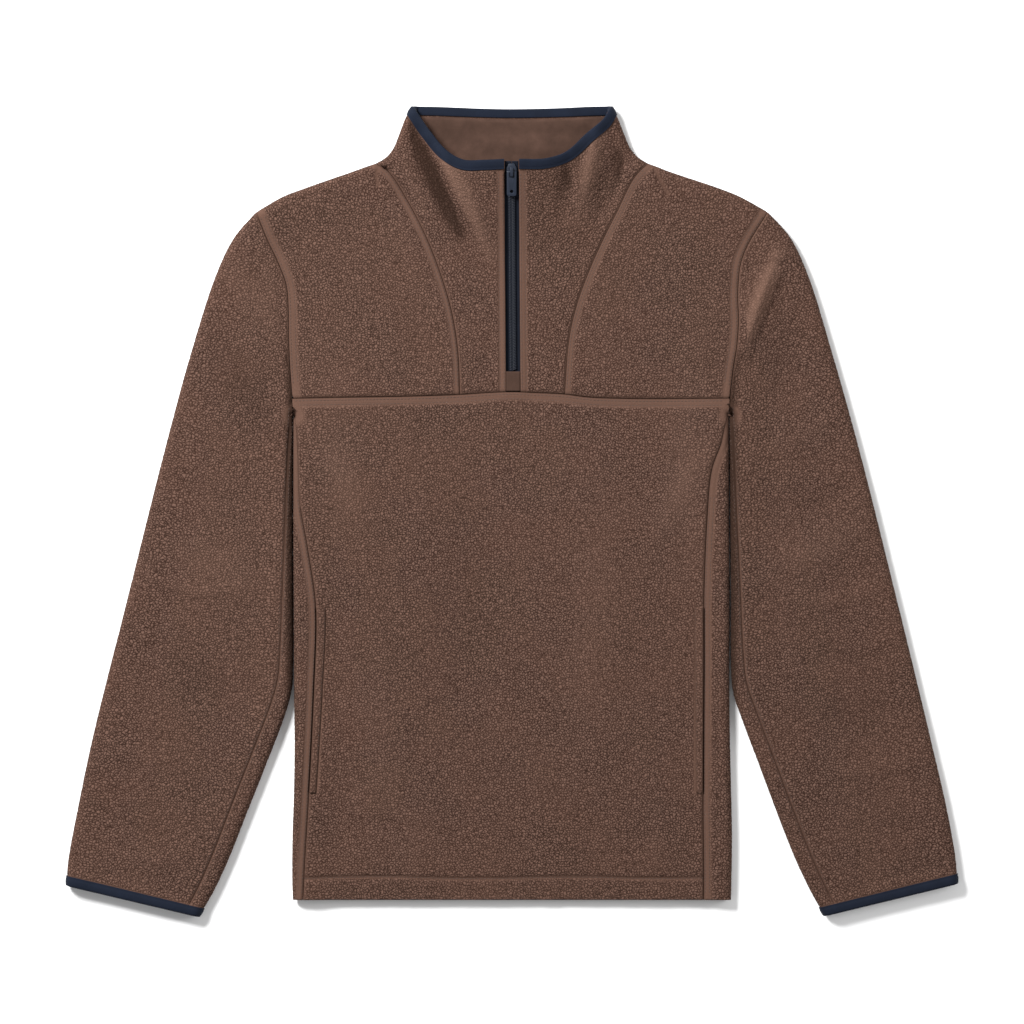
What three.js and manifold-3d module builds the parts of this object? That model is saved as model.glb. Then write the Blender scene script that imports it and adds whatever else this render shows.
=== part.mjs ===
// A quarter-zip pullover of thick sherpa fleece, laid flat on its back with the front up.
// Millimetres. +X is the right of the garment as seen, +Y points to the collar, +Z is up.
// Upper and under layers of cloth are joined by round folds along the outline.
import * as THREE from 'three';
import { mergeVertices } from 'three/addons/utils/BufferGeometryUtils.js';
import Module from 'manifold-3d';

const wasm = await Module();
wasm.setup();

// Cloth
const wallThickness = 3.8;
const foldRadius = 6.5;
const seamGap = 0.3;
const trimClearance = 0.3;
const underLayerClearance = 0.5;
const bodySettle = 3.4;
const sleeveSettle = 2.0;
const cuffSettle = 0.6;
const settleDistance = 40;

// Neck opening
const neckRaise = 27;
const neckRaiseStart = 235;
const neckRaiseLength = 98;
const neckRaiseHalfWidth = 100;
const neckRaiseFlank = 80;

// Trim
const bindingWidth = 8.4;
const bindingThickness = 1.0;
const facingThickness = 1.0;
const tapeThickness = 0.9;
const tapeHidden = 7;
const zipHalfOpening = 7;
const coilWidth = 6.6;
const coilHeight = 2;
const pocketWeltWidth = 8;
const pocketWeltThickness = 0.9;
const underarmSeamInset = 13.5;
const curveSamples = 72;

const colours = {
  fleece: 0x6b5245,
  facing: 0x6a5044,
  navy: 0x1b2233,
  tab: 0x2e3848,
};

// Outline and seams, each a smooth curve through its rows of x and y.
// The names end in Left or Right as the garment is seen from above.
const curveTables = {
  collarSideLeft: [[-94.0, 380.2], [-99.6, 371.0], [-105.3, 356.7], [-111.5, 341.5],
    [-118.5, 333.0], [-127.8, 327.6]],
  collarSideRight: [[94.0, 380.2], [98.9, 371.0], [104.6, 356.7], [111.3, 341.5],
    [118.5, 333.0], [127.8, 327.6]],
  shoulderLeft: [[-127.8, 327.6], [-151.3, 319.1], [-173.0, 311.6], [-193.6, 304.3],
    [-215.0, 296.2], [-240.6, 281.5]],
  shoulderRight: [[127.8, 327.6], [149.5, 319.1], [172.0, 311.6], [193.6, 304.3],
    [214.0, 296.2], [240.6, 281.5]],
  sleeveOuterLeft: [[-240.6, 281.5], [-260.4, 259.0], [-277.3, 225.1], [-302.7, 146.2], [-327.1, 55.9],
    [-361.0, -79.4], [-394.8, -214.8], [-408.9, -282.5], [-417.6, -330.0], [-418.6, -350.8]],
  sleeveOuterRight: [[240.6, 281.5], [260.8, 259.0], [277.3, 225.1], [301.9, 146.2], [327.1, 55.9],
    [361.0, -79.4], [393.9, -214.8], [409.4, -282.5], [417.6, -330.0], [418.6, -349.0]],
  sleeveInnerLeft: [[-206.2, 90.7], [-206.6, 10.8], [-206.2, -83.2], [-206.2, -139.6], [-207.4, -168.0],
    [-214.0, -192.2], [-231.2, -237.3], [-249.1, -282.5], [-267.0, -327.6], [-281.0, -357.7],
    [-294.3, -380.2]],
  sleeveInnerRight: [[204.6, 90.7], [205.2, 10.8], [205.9, -83.2], [206.0, -139.6], [208.0, -169.7],
    [215.3, -192.2], [232.2, -237.3], [249.1, -282.5], [267.0, -327.6], [281.0, -357.0], [293.6, -379.4]],
  bodySideLeft: [[-205.6, 90.7], [-205.9, 10.8], [-205.4, -83.2], [-204.9, -167.8], [-204.4, -214.8],
    [-204.9, -259.9], [-206.3, -305.0], [-206.6, -346.4], [-205.9, -365.2]],
  bodySideRight: [[204.0, 90.7], [204.2, 10.8], [204.6, -83.2], [204.3, -167.8], [204.9, -214.8],
    [205.9, -259.9], [206.8, -305.0], [206.3, -346.4], [205.9, -365.2]],
  armholeLeft: [[-240.6, 281.5], [-229.4, 254.3], [-220.9, 236.4], [-212.4, 213.8], [-210.3, 192.0],
    [-210.0, 165.0], [-208.7, 135.8], [-206.8, 108.6], [-205.9, 90.7]],
  armholeRight: [[240.6, 281.5], [222.8, 252.4], [215.3, 233.6], [212.4, 205.4], [213.0, 180.0],
    [211.4, 156.5], [207.9, 133.9], [204.9, 107.6], [204.3, 90.7]],
  princessLeft: [[-127.8, 327.6], [-115.6, 319.0], [-99.6, 294.7], [-80.8, 258.5], [-66.7, 222.3],
    [-56.4, 186.6], [-50.8, 150.9], [-48.9, 109.6]],
  princessRight: [[127.8, 327.6], [114.7, 313.4], [98.3, 281.0], [88.0, 260.7], [73.9, 229.8],
    [61.1, 195.0], [53.6, 162.0], [49.4, 110.2]],
  sideSeamLeft: [[-204.6, 90.7], [-202.1, 57.8], [-200.2, 12.7], [-191.8, -36.2], [-184.3, -89.8],
    [-186.1, -167.8], [-190.8, -264.6], [-194.6, -327.6], [-196.5, -365.2]],
  sideSeamRight: [[203.0, 90.7], [197.0, 65.2], [187.7, 38.8], [183.3, -8.9], [180.5, -80.4],
    [180.3, -142.4], [179.7, -274.0], [180.3, -340.3], [180.1, -365.2]],
  yokeSeam: [[-206.8, 106.2], [-156.0, 107.2], [-105.3, 108.0], [-49.8, 109.8], [-20.0, 111.8],
    [2.0, 112.4], [22.0, 111.6], [49.4, 110.2], [72.4, 107.3], [101.5, 106.2], [140.1, 105.9],
    [204.9, 106.4]],
  collarBackEdge: [[-94.0, 380.2], [-67.7, 379.6], [-30.1, 378.0], [0.0, 377.4], [45.1, 378.4],
    [73.3, 379.8], [94.0, 380.2]],
  collarFrontEdgeLeft: [[-94.0, 380.2], [-77.1, 356.0], [-62.0, 338.0], [-46.1, 329.0],
    [-25.4, 328.5], [-7.5, 329.2]],
  collarFrontEdgeRight: [[94.0, 380.2], [86.5, 368.0], [70.5, 354.0], [51.7, 337.0],
    [32.0, 330.0], [6.6, 329.2]],
  backNeckSeam: [[-127.8, 327.6], [0.0, 327.6], [127.8, 327.6]],
  facingLowerEdge: [[-116.0, 322.0], [-60.0, 297.0], [0.0, 288.0], [60.0, 297.0], [116.0, 322.0]],
};

// The largest folds of the upper layer: a quadratic path, its height and its half width.
const creases = [
  { x0: -95, y0: 366, x1: -78, y1: 318, x2: -39, y2: 236, height: -3.4, width: 8 },
  { x0: -78, y0: 350, x1: -50, y1: 322, x2: -19, y2: 236, height: 4.2, width: 10 },
  { x0: 84, y0: 372, x1: 76, y1: 330, x2: 62, y2: 270, height: 3.6, width: 11 },
  { x0: 104, y0: 346, x1: 100, y1: 320, x2: 84, y2: 284, height: -2.6, width: 9 },
  { x0: 50, y0: 326, x1: 53, y1: 312, x2: 46, y2: 280, height: -2.4, width: 8 },
  { x0: 252, y0: 240, x1: 236, y1: 200, x2: 220, y2: 150, height: 5.0, width: 13 },
  { x0: 262, y0: 196, x1: 250, y1: 150, x2: 236, y2: 96, height: -1.8, width: 18 },
  { x0: -262, y0: 232, x1: -240, y1: 196, x2: -226, y2: 140, height: 2.6, width: 15 },
  { x0: -290, y0: 168, x1: -250, y1: 120, x2: -216, y2: 60, height: -1.9, width: 26 },
  { x0: -330, y0: -20, x1: -280, y1: -60, x2: -225, y2: -70, height: 1.8, width: 24 },
  { x0: -340, y0: -150, x1: -300, y1: -170, x2: -250, y2: -160, height: -1.4, width: 20 },
  { x0: 340, y0: 0, x1: 290, y1: -40, x2: 230, y2: -60, height: 1.9, width: 22 },
  { x0: 372, y0: -170, x1: 320, y1: -190, x2: 262, y2: -190, height: -1.4, width: 20 },
  { x0: -180, y0: 150, x1: -150, y1: 60, x2: -165, y2: -60, height: 1.6, width: 26 },
  { x0: 175, y0: 160, x1: 150, y1: 40, x2: 168, y2: -60, height: 1.8, width: 24 },
  { x0: -60, y0: 60, x1: -30, y1: -60, x2: -70, y2: -200, height: -1.2, width: 34 },
  { x0: 70, y0: 30, x1: 90, y1: -90, x2: 60, y2: -230, height: 1.5, width: 30 },
  { x0: -140, y0: -120, x1: -110, y1: -220, x2: -130, y2: -330, height: 1.4, width: 26 },
];

function vector(x, y) {
  return new THREE.Vector2(x, y);
}

function smooth(value) {
  const t = Math.min(Math.max(value, 0), 1);
  return t * t * (3 - 2 * t);
}

function evenly(start, end, steps) {
  return Array.from({ length: steps + 1 }, (unused, index) => start + (end - start) * index / steps);
}

// A polyline with its running length.
function makePath(points) {
  const lengths = [0];
  for (let index = 1; index < points.length; index += 1) {
    lengths.push(lengths[index - 1] + points[index].distanceTo(points[index - 1]));
  }
  return { points, lengths, length: lengths[lengths.length - 1] };
}

function smoothPath(rows) {
  const knots = rows.map(([x, y]) => new THREE.Vector3(x, y, 0));
  const curve = new THREE.CatmullRomCurve3(knots, false, 'centripetal');
  return makePath(curve.getSpacedPoints(curveSamples).map((point) => vector(point.x, point.y)));
}

function joinPaths(...paths) {
  const points = paths.flatMap((path, index) => (index === 0 ? path.points : path.points.slice(1)));
  return makePath(points);
}

function pointAt(path, distance) {
  const wanted = Math.min(Math.max(distance, 0), path.length);
  let index = 1;
  while (index < path.lengths.length - 1 && path.lengths[index] < wanted) index += 1;
  const start = path.lengths[index - 1];
  const share = (wanted - start) / (path.lengths[index] - start);
  return path.points[index - 1].clone().lerp(path.points[index], share);
}

function pointAtHeight(path, y) {
  const index = path.points.findIndex((point) => point.y <= y);
  if (index < 0) return path.points[path.points.length - 1].clone();
  if (index === 0) return path.points[0].clone();
  const above = path.points[index - 1];
  const below = path.points[index];
  return above.clone().lerp(below, (above.y - y) / (above.y - below.y));
}

function pointAtAcross(path, x) {
  const index = path.points.findIndex((point) => point.x >= x);
  if (index < 0) return path.points[path.points.length - 1].clone();
  if (index === 0) return path.points[0].clone();
  const before = path.points[index - 1];
  const after = path.points[index];
  return before.clone().lerp(after, (x - before.x) / (after.x - before.x));
}

function sample(path, distances) {
  return distances.map((distance) => pointAt(path, distance));
}

const curves = {};
for (const [name, rows] of Object.entries(curveTables)) {
  curves[name] = smoothPath(rows);
}

// A fold is a stretch of outline where the upper layer turns round into the under layer.
// turn is +1 where the cloth lies to the left of the path's direction, and -1 to its right.
function makeFold(path, turn) {
  return { path, turn };
}

function outerFold(side, turn) {
  const names = ['collarSide', 'shoulder', 'sleeveOuter'];
  const path = joinPaths(...names.map((name) => curves[`${name}${side}`]));
  return makeFold(path, turn);
}

const outerFoldLeft = outerFold('Left', 1);
const outerFoldRight = outerFold('Right', -1);
const bodySideFolds = {
  Left: makeFold(curves.bodySideLeft, 1),
  Right: makeFold(curves.bodySideRight, -1),
};
const bodyFolds = [outerFoldLeft, outerFoldRight, bodySideFolds.Left, bodySideFolds.Right];
const sleeveFoldsLeft = [outerFoldLeft, makeFold(curves.sleeveInnerLeft, -1)];
const sleeveFoldsRight = [outerFoldRight, makeFold(curves.sleeveInnerRight, 1)];

const cuffLines = {};
for (const side of ['Left', 'Right']) {
  const ends = [curves[`sleeveOuter${side}`], curves[`sleeveInner${side}`]];
  cuffLines[side] = ends.map((path) => path.points[path.points.length - 1]);
}

function nearestFold(point, folds) {
  let best = { distance: Infinity, inward: vector(1, 0), foot: point };
  for (const { path, turn } of folds) {
    for (let index = 1; index < path.points.length; index += 1) {
      const start = path.points[index - 1];
      const along = path.points[index].clone().sub(start);
      const share = Math.min(Math.max(point.clone().sub(start).dot(along) / along.lengthSq(), 0), 1);
      const foot = start.clone().addScaledVector(along, share);
      const distance = foot.distanceTo(point);
      if (distance < best.distance) {
        const side = vector(-along.y, along.x).normalize().multiplyScalar(turn);
        const inward = distance > 1e-3 ? point.clone().sub(foot).divideScalar(distance) : side;
        best = { distance, inward, foot };
      }
    }
  }
  return best;
}

const creasePaths = creases.map((crease) => {
  const start = new THREE.Vector3(crease.x0, crease.y0, 0);
  const middle = new THREE.Vector3(crease.x1, crease.y1, 0);
  const end = new THREE.Vector3(crease.x2, crease.y2, 0);
  const curve = new THREE.QuadraticBezierCurve3(start, middle, end);
  return { ...crease, points: curve.getPoints(16).map((point) => vector(point.x, point.y)) };
});

function creaseHeight(point) {
  let total = 0;
  for (const { points, height, width } of creasePaths) {
    let nearest = Infinity;
    let place = 0;
    points.forEach((candidate, index) => {
      const distance = candidate.distanceTo(point);
      if (distance < nearest) {
        nearest = distance;
        place = index / (points.length - 1);
      }
    });
    const fade = Math.pow(Math.sin(Math.PI * Math.min(Math.max(place, 0.08), 0.92)), 0.6);
    total += height * fade * Math.exp(-((nearest / width) ** 2));
  }
  return total;
}

// Both layers rise a little at the bound edges, so that the binding's underside is level with the rest.
function edgeLift(point) {
  const collar = smooth((point.y - 355) / 11);
  const [lineStart, lineEnd] = cuffLines[point.x < 0 ? 'Left' : 'Right'];
  const along = lineEnd.clone().sub(lineStart).normalize();
  const offset = point.clone().sub(lineStart);
  const fromCuff = Math.abs(offset.x * along.y - offset.y * along.x);
  const nearSleeve = smooth((Math.abs(point.x) - 215) / 20);
  const cuff = (1 - smooth((fromCuff - bindingWidth) / 10)) * nearSleeve;
  return (trimClearance + bindingThickness + 0.05) * Math.max(collar, cuff);
}

// How far the upper layer lies above or below its level, which is two fold radii.
function relief(point, foldDistance) {
  const across = Math.abs(point.x);
  const sleeveShare = smooth((across - 200) / 80);
  const cuffShare = smooth((-point.y - 270) / 70) * smooth((across - 215) / 20);
  let settle = bodySettle + (sleeveSettle - bodySettle) * sleeveShare;
  settle += (cuffSettle - settle) * cuffShare;
  const sunk = -settle * smooth((foldDistance - foldRadius) / settleDistance);
  const climb = Math.max((point.y - neckRaiseStart) / neckRaiseLength, 0);
  const ramp = climb < 0.4 ? climb * climb / 0.8 : climb - 0.2;
  const raise = neckRaise * ramp * smooth((neckRaiseHalfWidth - across) / neckRaiseFlank);
  const zipLift = 1.5 * smooth((22 - across) / 16) * smooth((point.y - 90) / 20);
  return Math.max(sunk + raise + zipLift + creaseHeight(point), -settle - 0.4);
}

// The outside of the cloth over a plan point. layer is +1 for the upper layer and -1 for the under one.
function clothAt(point, folds, layer) {
  const { distance, inward } = nearestFold(point, folds);
  const depth = Math.min(distance, foldRadius);
  const cosine = (foldRadius - depth) / foldRadius;
  const sine = Math.sqrt(Math.max(1 - cosine * cosine, 0));
  const lift = layer > 0 ? relief(point, distance) * sine : 0;
  const height = foldRadius + layer * foldRadius * sine + lift + edgeLift(point);
  return {
    outer: new THREE.Vector3(point.x, point.y, height),
    normal: new THREE.Vector3(-inward.x * cosine, -inward.y * cosine, layer * sine).normalize(),
  };
}

function offsetPoint({ outer, normal }, distance) {
  return outer.clone().addScaledVector(normal, distance);
}

// Two triangles over four corners, cut along the shorter diagonal, so that neighbours cut alike.
function quadFaces(positions, [a, b, c, d]) {
  const corner = (index) => new THREE.Vector3(...positions.slice(index * 3, index * 3 + 3));
  const first = corner(a).distanceTo(corner(c));
  const second = corner(b).distanceTo(corner(d));
  return first <= second ? [a, b, c, a, c, d] : [a, b, d, b, c, d];
}

// A closed solid between two grids of points of equal size, with rims along its four sides.
function gridSolid(outside, inside) {
  const rows = outside.length;
  const columns = outside[0].length;
  const positions = [];
  for (const grid of [outside, inside]) {
    for (const row of grid) {
      for (const point of row) positions.push(point.x, point.y, point.z);
    }
  }
  const outerIndex = (row, column) => row * columns + column;
  const innerIndex = (row, column) => (rows + row) * columns + column;
  const faces = [];
  const quad = (...corners) => faces.push(...quadFaces(positions, corners));
  for (let row = 0; row < rows - 1; row += 1) {
    for (let column = 0; column < columns - 1; column += 1) {
      const ring = [[row, column], [row + 1, column], [row + 1, column + 1], [row, column + 1]];
      quad(...ring.map((place) => outerIndex(...place)));
      quad(...ring.reverse().map((place) => innerIndex(...place)));
    }
  }
  const rim = (first, second) => {
    quad(outerIndex(...first), outerIndex(...second), innerIndex(...second), innerIndex(...first));
  };
  for (let column = 0; column < columns - 1; column += 1) {
    rim([0, column], [0, column + 1]);
    rim([rows - 1, column + 1], [rows - 1, column]);
  }
  for (let row = 0; row < rows - 1; row += 1) {
    rim([row + 1, 0], [row, 0]);
    rim([row, columns - 1], [row + 1, columns - 1]);
  }
  return closedGeometry(positions, faces);
}

// The triangles as a geometry, turned so that they face out.
function closedGeometry(positions, faces) {
  let volume = 0;
  const corner = (index) => new THREE.Vector3(...positions.slice(index * 3, index * 3 + 3));
  for (let index = 0; index < faces.length; index += 3) {
    const [a, b, c] = [corner(faces[index]), corner(faces[index + 1]), corner(faces[index + 2])];
    volume += a.dot(b.cross(c));
  }
  if (volume < 0) {
    for (let index = 0; index < faces.length; index += 3) {
      [faces[index + 1], faces[index + 2]] = [faces[index + 2], faces[index + 1]];
    }
  }
  const geometry = new THREE.BufferGeometry();
  geometry.setAttribute('position', new THREE.Float32BufferAttribute(positions, 3));
  geometry.setIndex(faces);
  geometry.computeVertexNormals();
  return geometry;
}

function shares(points) {
  const path = makePath(points);
  return path.lengths.map((length) => length / path.length);
}

// Plan points between four boundaries that share their corners.
function patch({ top, bottom, left, right }) {
  const topShares = shares(top);
  const bottomShares = shares(bottom);
  const leftShares = shares(left);
  const rightShares = shares(right);
  return left.map((leftPoint, row) => top.map((topPoint, column) => {
    const down = leftShares[row] * (1 - topShares[column]) + rightShares[row] * topShares[column];
    const across = topShares[column] * (1 - down) + bottomShares[column] * down;
    const point = topPoint.clone().multiplyScalar(1 - down).addScaledVector(bottom[column], down);
    point.addScaledVector(leftPoint, 1 - across).addScaledVector(right[row], across);
    point.addScaledVector(top[0], -(1 - across) * (1 - down));
    point.addScaledVector(top[top.length - 1], -across * (1 - down));
    point.addScaledVector(bottom[0], -(1 - across) * down);
    point.addScaledVector(bottom[bottom.length - 1], -across * down);
    return point;
  }));
}

// Moves a point of an edge by half the seam gap, square to the edge and towards a point inside.
function pulledIn(edge, index, inside, share = 1) {
  const point = edge[index];
  const before = edge[Math.max(index - 1, 0)];
  const after = edge[Math.min(index + 1, edge.length - 1)];
  const along = after.clone().sub(before).normalize();
  const step = inside.clone().sub(point);
  const square = step.clone().addScaledVector(along, -step.dot(along));
  return point.clone().addScaledVector(square.normalize(), share * seamGap / 2);
}

// Draws the named sides in by half the seam gap, so that two pieces stay apart along their seam.
function insetSides(plan, sides) {
  const rows = plan.length;
  const columns = plan[0].length;
  const result = plan.map((row) => row.map((point) => point.clone()));
  const leftEdge = plan.map((row) => row[0]);
  const rightEdge = plan.map((row) => row[columns - 1]);
  for (let row = 0; row < rows; row += 1) {
    if (sides.includes('left')) result[row][0] = pulledIn(leftEdge, row, plan[row][1]);
    if (sides.includes('right')) result[row][columns - 1] = pulledIn(rightEdge, row, plan[row][columns - 2]);
  }
  const topEdge = result[0].map((point) => point.clone());
  const bottomEdge = result[rows - 1].map((point) => point.clone());
  for (let column = 0; column < columns; column += 1) {
    if (sides.includes('top')) result[0][column] = pulledIn(topEdge, column, result[1][column]);
    if (sides.includes('bottom')) {
      result[rows - 1][column] = pulledIn(bottomEdge, column, result[rows - 2][column]);
    }
  }
  return result;
}

// A plan point this close to a fold's line is taken to lie on it.
const onFoldDistance = 0.12;

// Cloth points over a plan. Where two pieces meet half way round a fold, each stops half a gap short.
function clothGrid(plan, folds, layer) {
  return plan.map((row) => row.map((planned) => {
    const { distance, foot } = nearestFold(planned, folds);
    const onFold = distance < onFoldDistance;
    const cloth = clothAt(onFold ? foot : planned, folds, layer);
    if (onFold) cloth.outer.z += layer * seamGap / 2;
    return cloth;
  }));
}

function wallGeometry(cloth, outerOffset = 0, innerOffset = -wallThickness) {
  const outside = cloth.map((row) => row.map((entry) => offsetPoint(entry, outerOffset)));
  const inside = cloth.map((row) => row.map((entry) => offsetPoint(entry, innerOffset)));
  return gridSolid(outside, inside);
}

const garment = new THREE.Group();

function addPiece(name, geometry, colour, roughness = 0.95, metalness = 0, parent = garment) {
  const material = new THREE.MeshStandardMaterial({ color: colour, roughness, metalness });
  const mesh = new THREE.Mesh(geometry, material);
  mesh.name = name;
  parent.add(mesh);
  return mesh;
}

// Distances from a fold line at which the round fold is cut into facets.
const foldSteps = evenly(0, Math.PI / 2, 3).map((angle) => foldRadius * (1 - Math.cos(angle)));

// Seam stations shared by the pieces on both sides of a seam.
// The armhole's row where the yoke ends, and the princess seams' row at their foot, are the eighth.
const upperRows = 7;
const yokeFootRow = 7;
const armholeStations = {};
const princessStations = {};
for (const side of ['Left', 'Right']) {
  const armhole = curves[`armhole${side}`];
  const yokeFoot = curveTables[`armhole${side}`][yokeFootRow][1];
  const footIndex = armhole.points.findIndex((point) => point.y <= yokeFoot);
  const footDistance = armhole.lengths[footIndex];
  const upper = [...foldSteps, ...evenly(foldRadius, footDistance, upperRows).slice(1)];
  const under = foldSteps.map((step) => armhole.length - step).reverse();
  armholeStations[side] = { upper, lower: [armhole.length - underarmSeamInset, ...under] };
  const princessLength = curves[`princess${side}`].length;
  princessStations[side] = [...foldSteps, ...evenly(foldRadius, princessLength, upperRows).slice(1)];
}

function zipCentre(y) {
  return -0.45 + 1.65 * (329 - y) / 217;
}

function zipEdge(direction, y) {
  return vector(zipCentre(y) + direction * zipHalfOpening, y);
}

const yokeColumns = 5;
const centreColumns = 3;

// Distances along an edge between two folds, close together round each fold.
function stationsBetweenFolds(length, columns) {
  return [
    ...foldSteps,
    ...evenly(foldRadius, length - foldRadius, columns).slice(1, -1),
    ...foldSteps.map((step) => length - step).reverse(),
  ];
}

function sideDirection(side) {
  return side === 'Left' ? -1 : 1;
}

// A plan drawn from the outside of the garment inwards, whichever side it is on.
function yokePlan(side) {
  const armhole = sample(curves[`armhole${side}`], armholeStations[side].upper);
  const princess = sample(curves[`princess${side}`], princessStations[side]);
  const shoulder = curves[`shoulder${side}`];
  const top = sample(shoulder, evenly(shoulder.length, 0, yokeColumns));
  const outerFoot = armhole[armhole.length - 1];
  const innerFoot = princess[princess.length - 1];
  const bottom = evenly(outerFoot.x, innerFoot.x, yokeColumns).map((x) => pointAtAcross(curves.yokeSeam, x));
  bottom[0] = outerFoot;
  bottom[yokeColumns] = innerFoot;
  return patch({ top, bottom, left: armhole, right: princess });
}

function buildYoke(side) {
  const plan = insetSides(yokePlan(side), ['left', 'right', 'bottom']);
  addPiece(`front_yoke_${side.toLowerCase()}`, wallGeometry(clothGrid(plan, bodyFolds, 1)), colours.fleece);
}

// Collar rows from the edge down to the neck point, shared by the front centre panels and the back collar.
function collarRowDistances(side) {
  const length = curves[`collarSide${side}`].length;
  return [0, bindingWidth, ...evenly(bindingWidth, length, 3).slice(1)];
}

// Near its ends the collar's second row turns from square to the edge into the end points' direction.
const foldEndReach = 24;
const zipEndReach = 12;

// The second row runs at the binding's width from the collar edge, square to it.
function bindingRow(edge, firstEnd, lastEnd) {
  return edge.map((point, index) => {
    const before = edge[Math.max(index - 1, 0)];
    const after = edge[Math.min(index + 1, edge.length - 1)];
    const along = after.clone().sub(before).normalize();
    const square = vector(along.y, -along.x);
    if (square.y > 0) square.multiplyScalar(-1);
    const nearFirst = Math.max(1 - point.distanceTo(edge[0]) / foldEndReach, 0);
    const nearLast = Math.max(1 - point.distanceTo(edge[edge.length - 1]) / zipEndReach, 0);
    square.lerp(firstEnd.clone().sub(edge[0]).normalize(), nearFirst);
    square.lerp(lastEnd.clone().sub(edge[edge.length - 1]).normalize(), nearLast);
    return point.clone().addScaledVector(square.normalize(), bindingWidth);
  });
}

const neckPointGap = 0.5;
const collarRowSpan = 20;
const centreSeamShare = 2;

function centrePlan(side) {
  const direction = sideDirection(side);
  const edgeCurve = curves[`collarFrontEdge${side}`];
  const topStations = [...foldSteps, ...evenly(foldRadius, edgeCurve.length, 6).slice(1)];
  const edge = sample(edgeCurve, topStations);
  const collarStations = collarRowDistances(side);
  collarStations[collarStations.length - 1] -= neckPointGap;
  const collarSide = sample(curves[`collarSide${side}`], collarStations);
  const princess = sample(curves[`princess${side}`], princessStations[side]);
  const left = [...collarSide.slice(1), ...princess.slice(1)];
  const foot = left[left.length - 1];
  const zipTop = edge[edge.length - 1];
  const zipFoot = zipEdge(direction, pointAtAcross(curves.yokeSeam, direction * zipHalfOpening).y);
  const zipSecond = zipEdge(direction, zipTop.y - bindingWidth);
  const top = bindingRow(edge, left[0], zipSecond);
  top[0] = left[0];
  top[top.length - 1] = zipSecond;
  const neckRow = collarSide.length - 2;
  const right = [
    ...evenly(zipSecond.y, zipSecond.y - collarRowSpan, neckRow),
    ...evenly(zipSecond.y - collarRowSpan, zipFoot.y, left.length - 1 - neckRow).slice(1),
  ].map((y) => zipEdge(direction, y));
  const footSpan = Math.abs(zipFoot.x - foot.x);
  const bottomStations = [...foldSteps, ...evenly(foldRadius, footSpan, 6).slice(1)];
  const bottom = bottomStations.map((step) => pointAtAcross(curves.yokeSeam, foot.x - direction * step));
  bottom[0] = foot;
  bottom[bottom.length - 1] = zipFoot;
  right[right.length - 1] = zipFoot;
  edge[edge.length - 1] = zipEdge(direction, zipTop.y);
  const topShares = shares(top);
  const bow = top.map((point, index) => {
    return point.clone().sub(top[0].clone().lerp(zipSecond, topShares[index]));
  });
  const footShares = shares(bottom);
  const below = left.map((start, row) => {
    const keep = Math.max(1 - row / neckRow, 0) ** 2;
    const down = row / (left.length - 1);
    return top.map((unused, column) => {
      const share = topShares[column] * (1 - down) + footShares[column] * down;
      return start.clone().lerp(right[row], share).addScaledVector(bow[column], keep);
    });
  });
  below[below.length - 1] = bottom;
  return { rows: [edge, ...below], collarRows: collarSide.length };
}

function buildCentre(side) {
  const { rows, collarRows } = centrePlan(side);
  const plan = insetSides(rows, ['bottom']);
  const seamEdge = plan.slice(collarRows).map((row) => row[0]);
  seamEdge.forEach((point, index) => {
    const row = plan[collarRows + index];
    row[0] = pulledIn(seamEdge, index, row[1], centreSeamShare);
  });
  const cloth = clothGrid(plan, bodyFolds, 1);
  addPiece(`front_centre_${side.toLowerCase()}`, wallGeometry(cloth), colours.fleece);
  return cloth;
}

// Heights of the body's rows, shared by the front, the back and the side panels.
const underarmY = 90.7;
const hemStitchY = -344.5;
const hemY = -365.2;
const pocketTopY = -89.8;
const pocketEndY = -264.6;
const waistY = -36;
const aboveHemY = -305;
const hemStitchReach = 5;
const hemStitchDepth = 0.9;
const bodyRows = [
  underarmY,
  ...evenly(underarmY - 12, waistY, 4),
  ...evenly(pocketTopY, pocketEndY, 4),
  aboveHemY,
  hemStitchY + hemStitchReach,
  hemStitchY,
  hemStitchY - hemStitchReach,
  hemY,
];

function buildFrontBody() {
  const footX = (name) => curveTables[name][yokeFootRow][0];
  const leftFeet = evenly(footX('armholeLeft'), footX('princessLeft'), yokeColumns);
  const rightFeet = evenly(footX('princessRight'), footX('armholeRight'), yokeColumns);
  const middle = evenly(leftFeet[yokeColumns], rightFeet[0], centreColumns * 2);
  const feet = [...leftFeet, ...middle.slice(1, -1), ...rightFeet];
  const spread = feet.map((x) => (x - feet[0]) / (feet[feet.length - 1] - feet[0]));
  const between = (left, right) => {
    const welt = pocketWeltWidth / left.distanceTo(right);
    return [0, welt, ...spread.slice(1, -1), 1 - welt, 1].map((share) => left.clone().lerp(right, share));
  };
  const seamStart = pointAtAcross(curves.yokeSeam, feet[0]);
  const seamEnd = pointAtAcross(curves.yokeSeam, feet[feet.length - 1]);
  const first = between(seamStart, seamEnd).map(({ x }) => pointAtAcross(curves.yokeSeam, x));
  const rows = bodyRows.map((y) => {
    return between(pointAtHeight(curves.sideSeamLeft, y), pointAtHeight(curves.sideSeamRight, y));
  });
  const plan = insetSides([first, ...rows], ['left', 'right', 'top']);
  const cloth = clothGrid(plan, bodyFolds, 1);
  const stitchRow = bodyRows.indexOf(hemStitchY) + 1;
  cloth[stitchRow].forEach(({ outer }) => {
    outer.z -= hemStitchDepth;
  });
  addPiece('front_body', wallGeometry(cloth), colours.fleece);
  return cloth;
}

// The least distance between two columns where a side panel runs out to a point.
const narrowColumn = 0.02;

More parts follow.
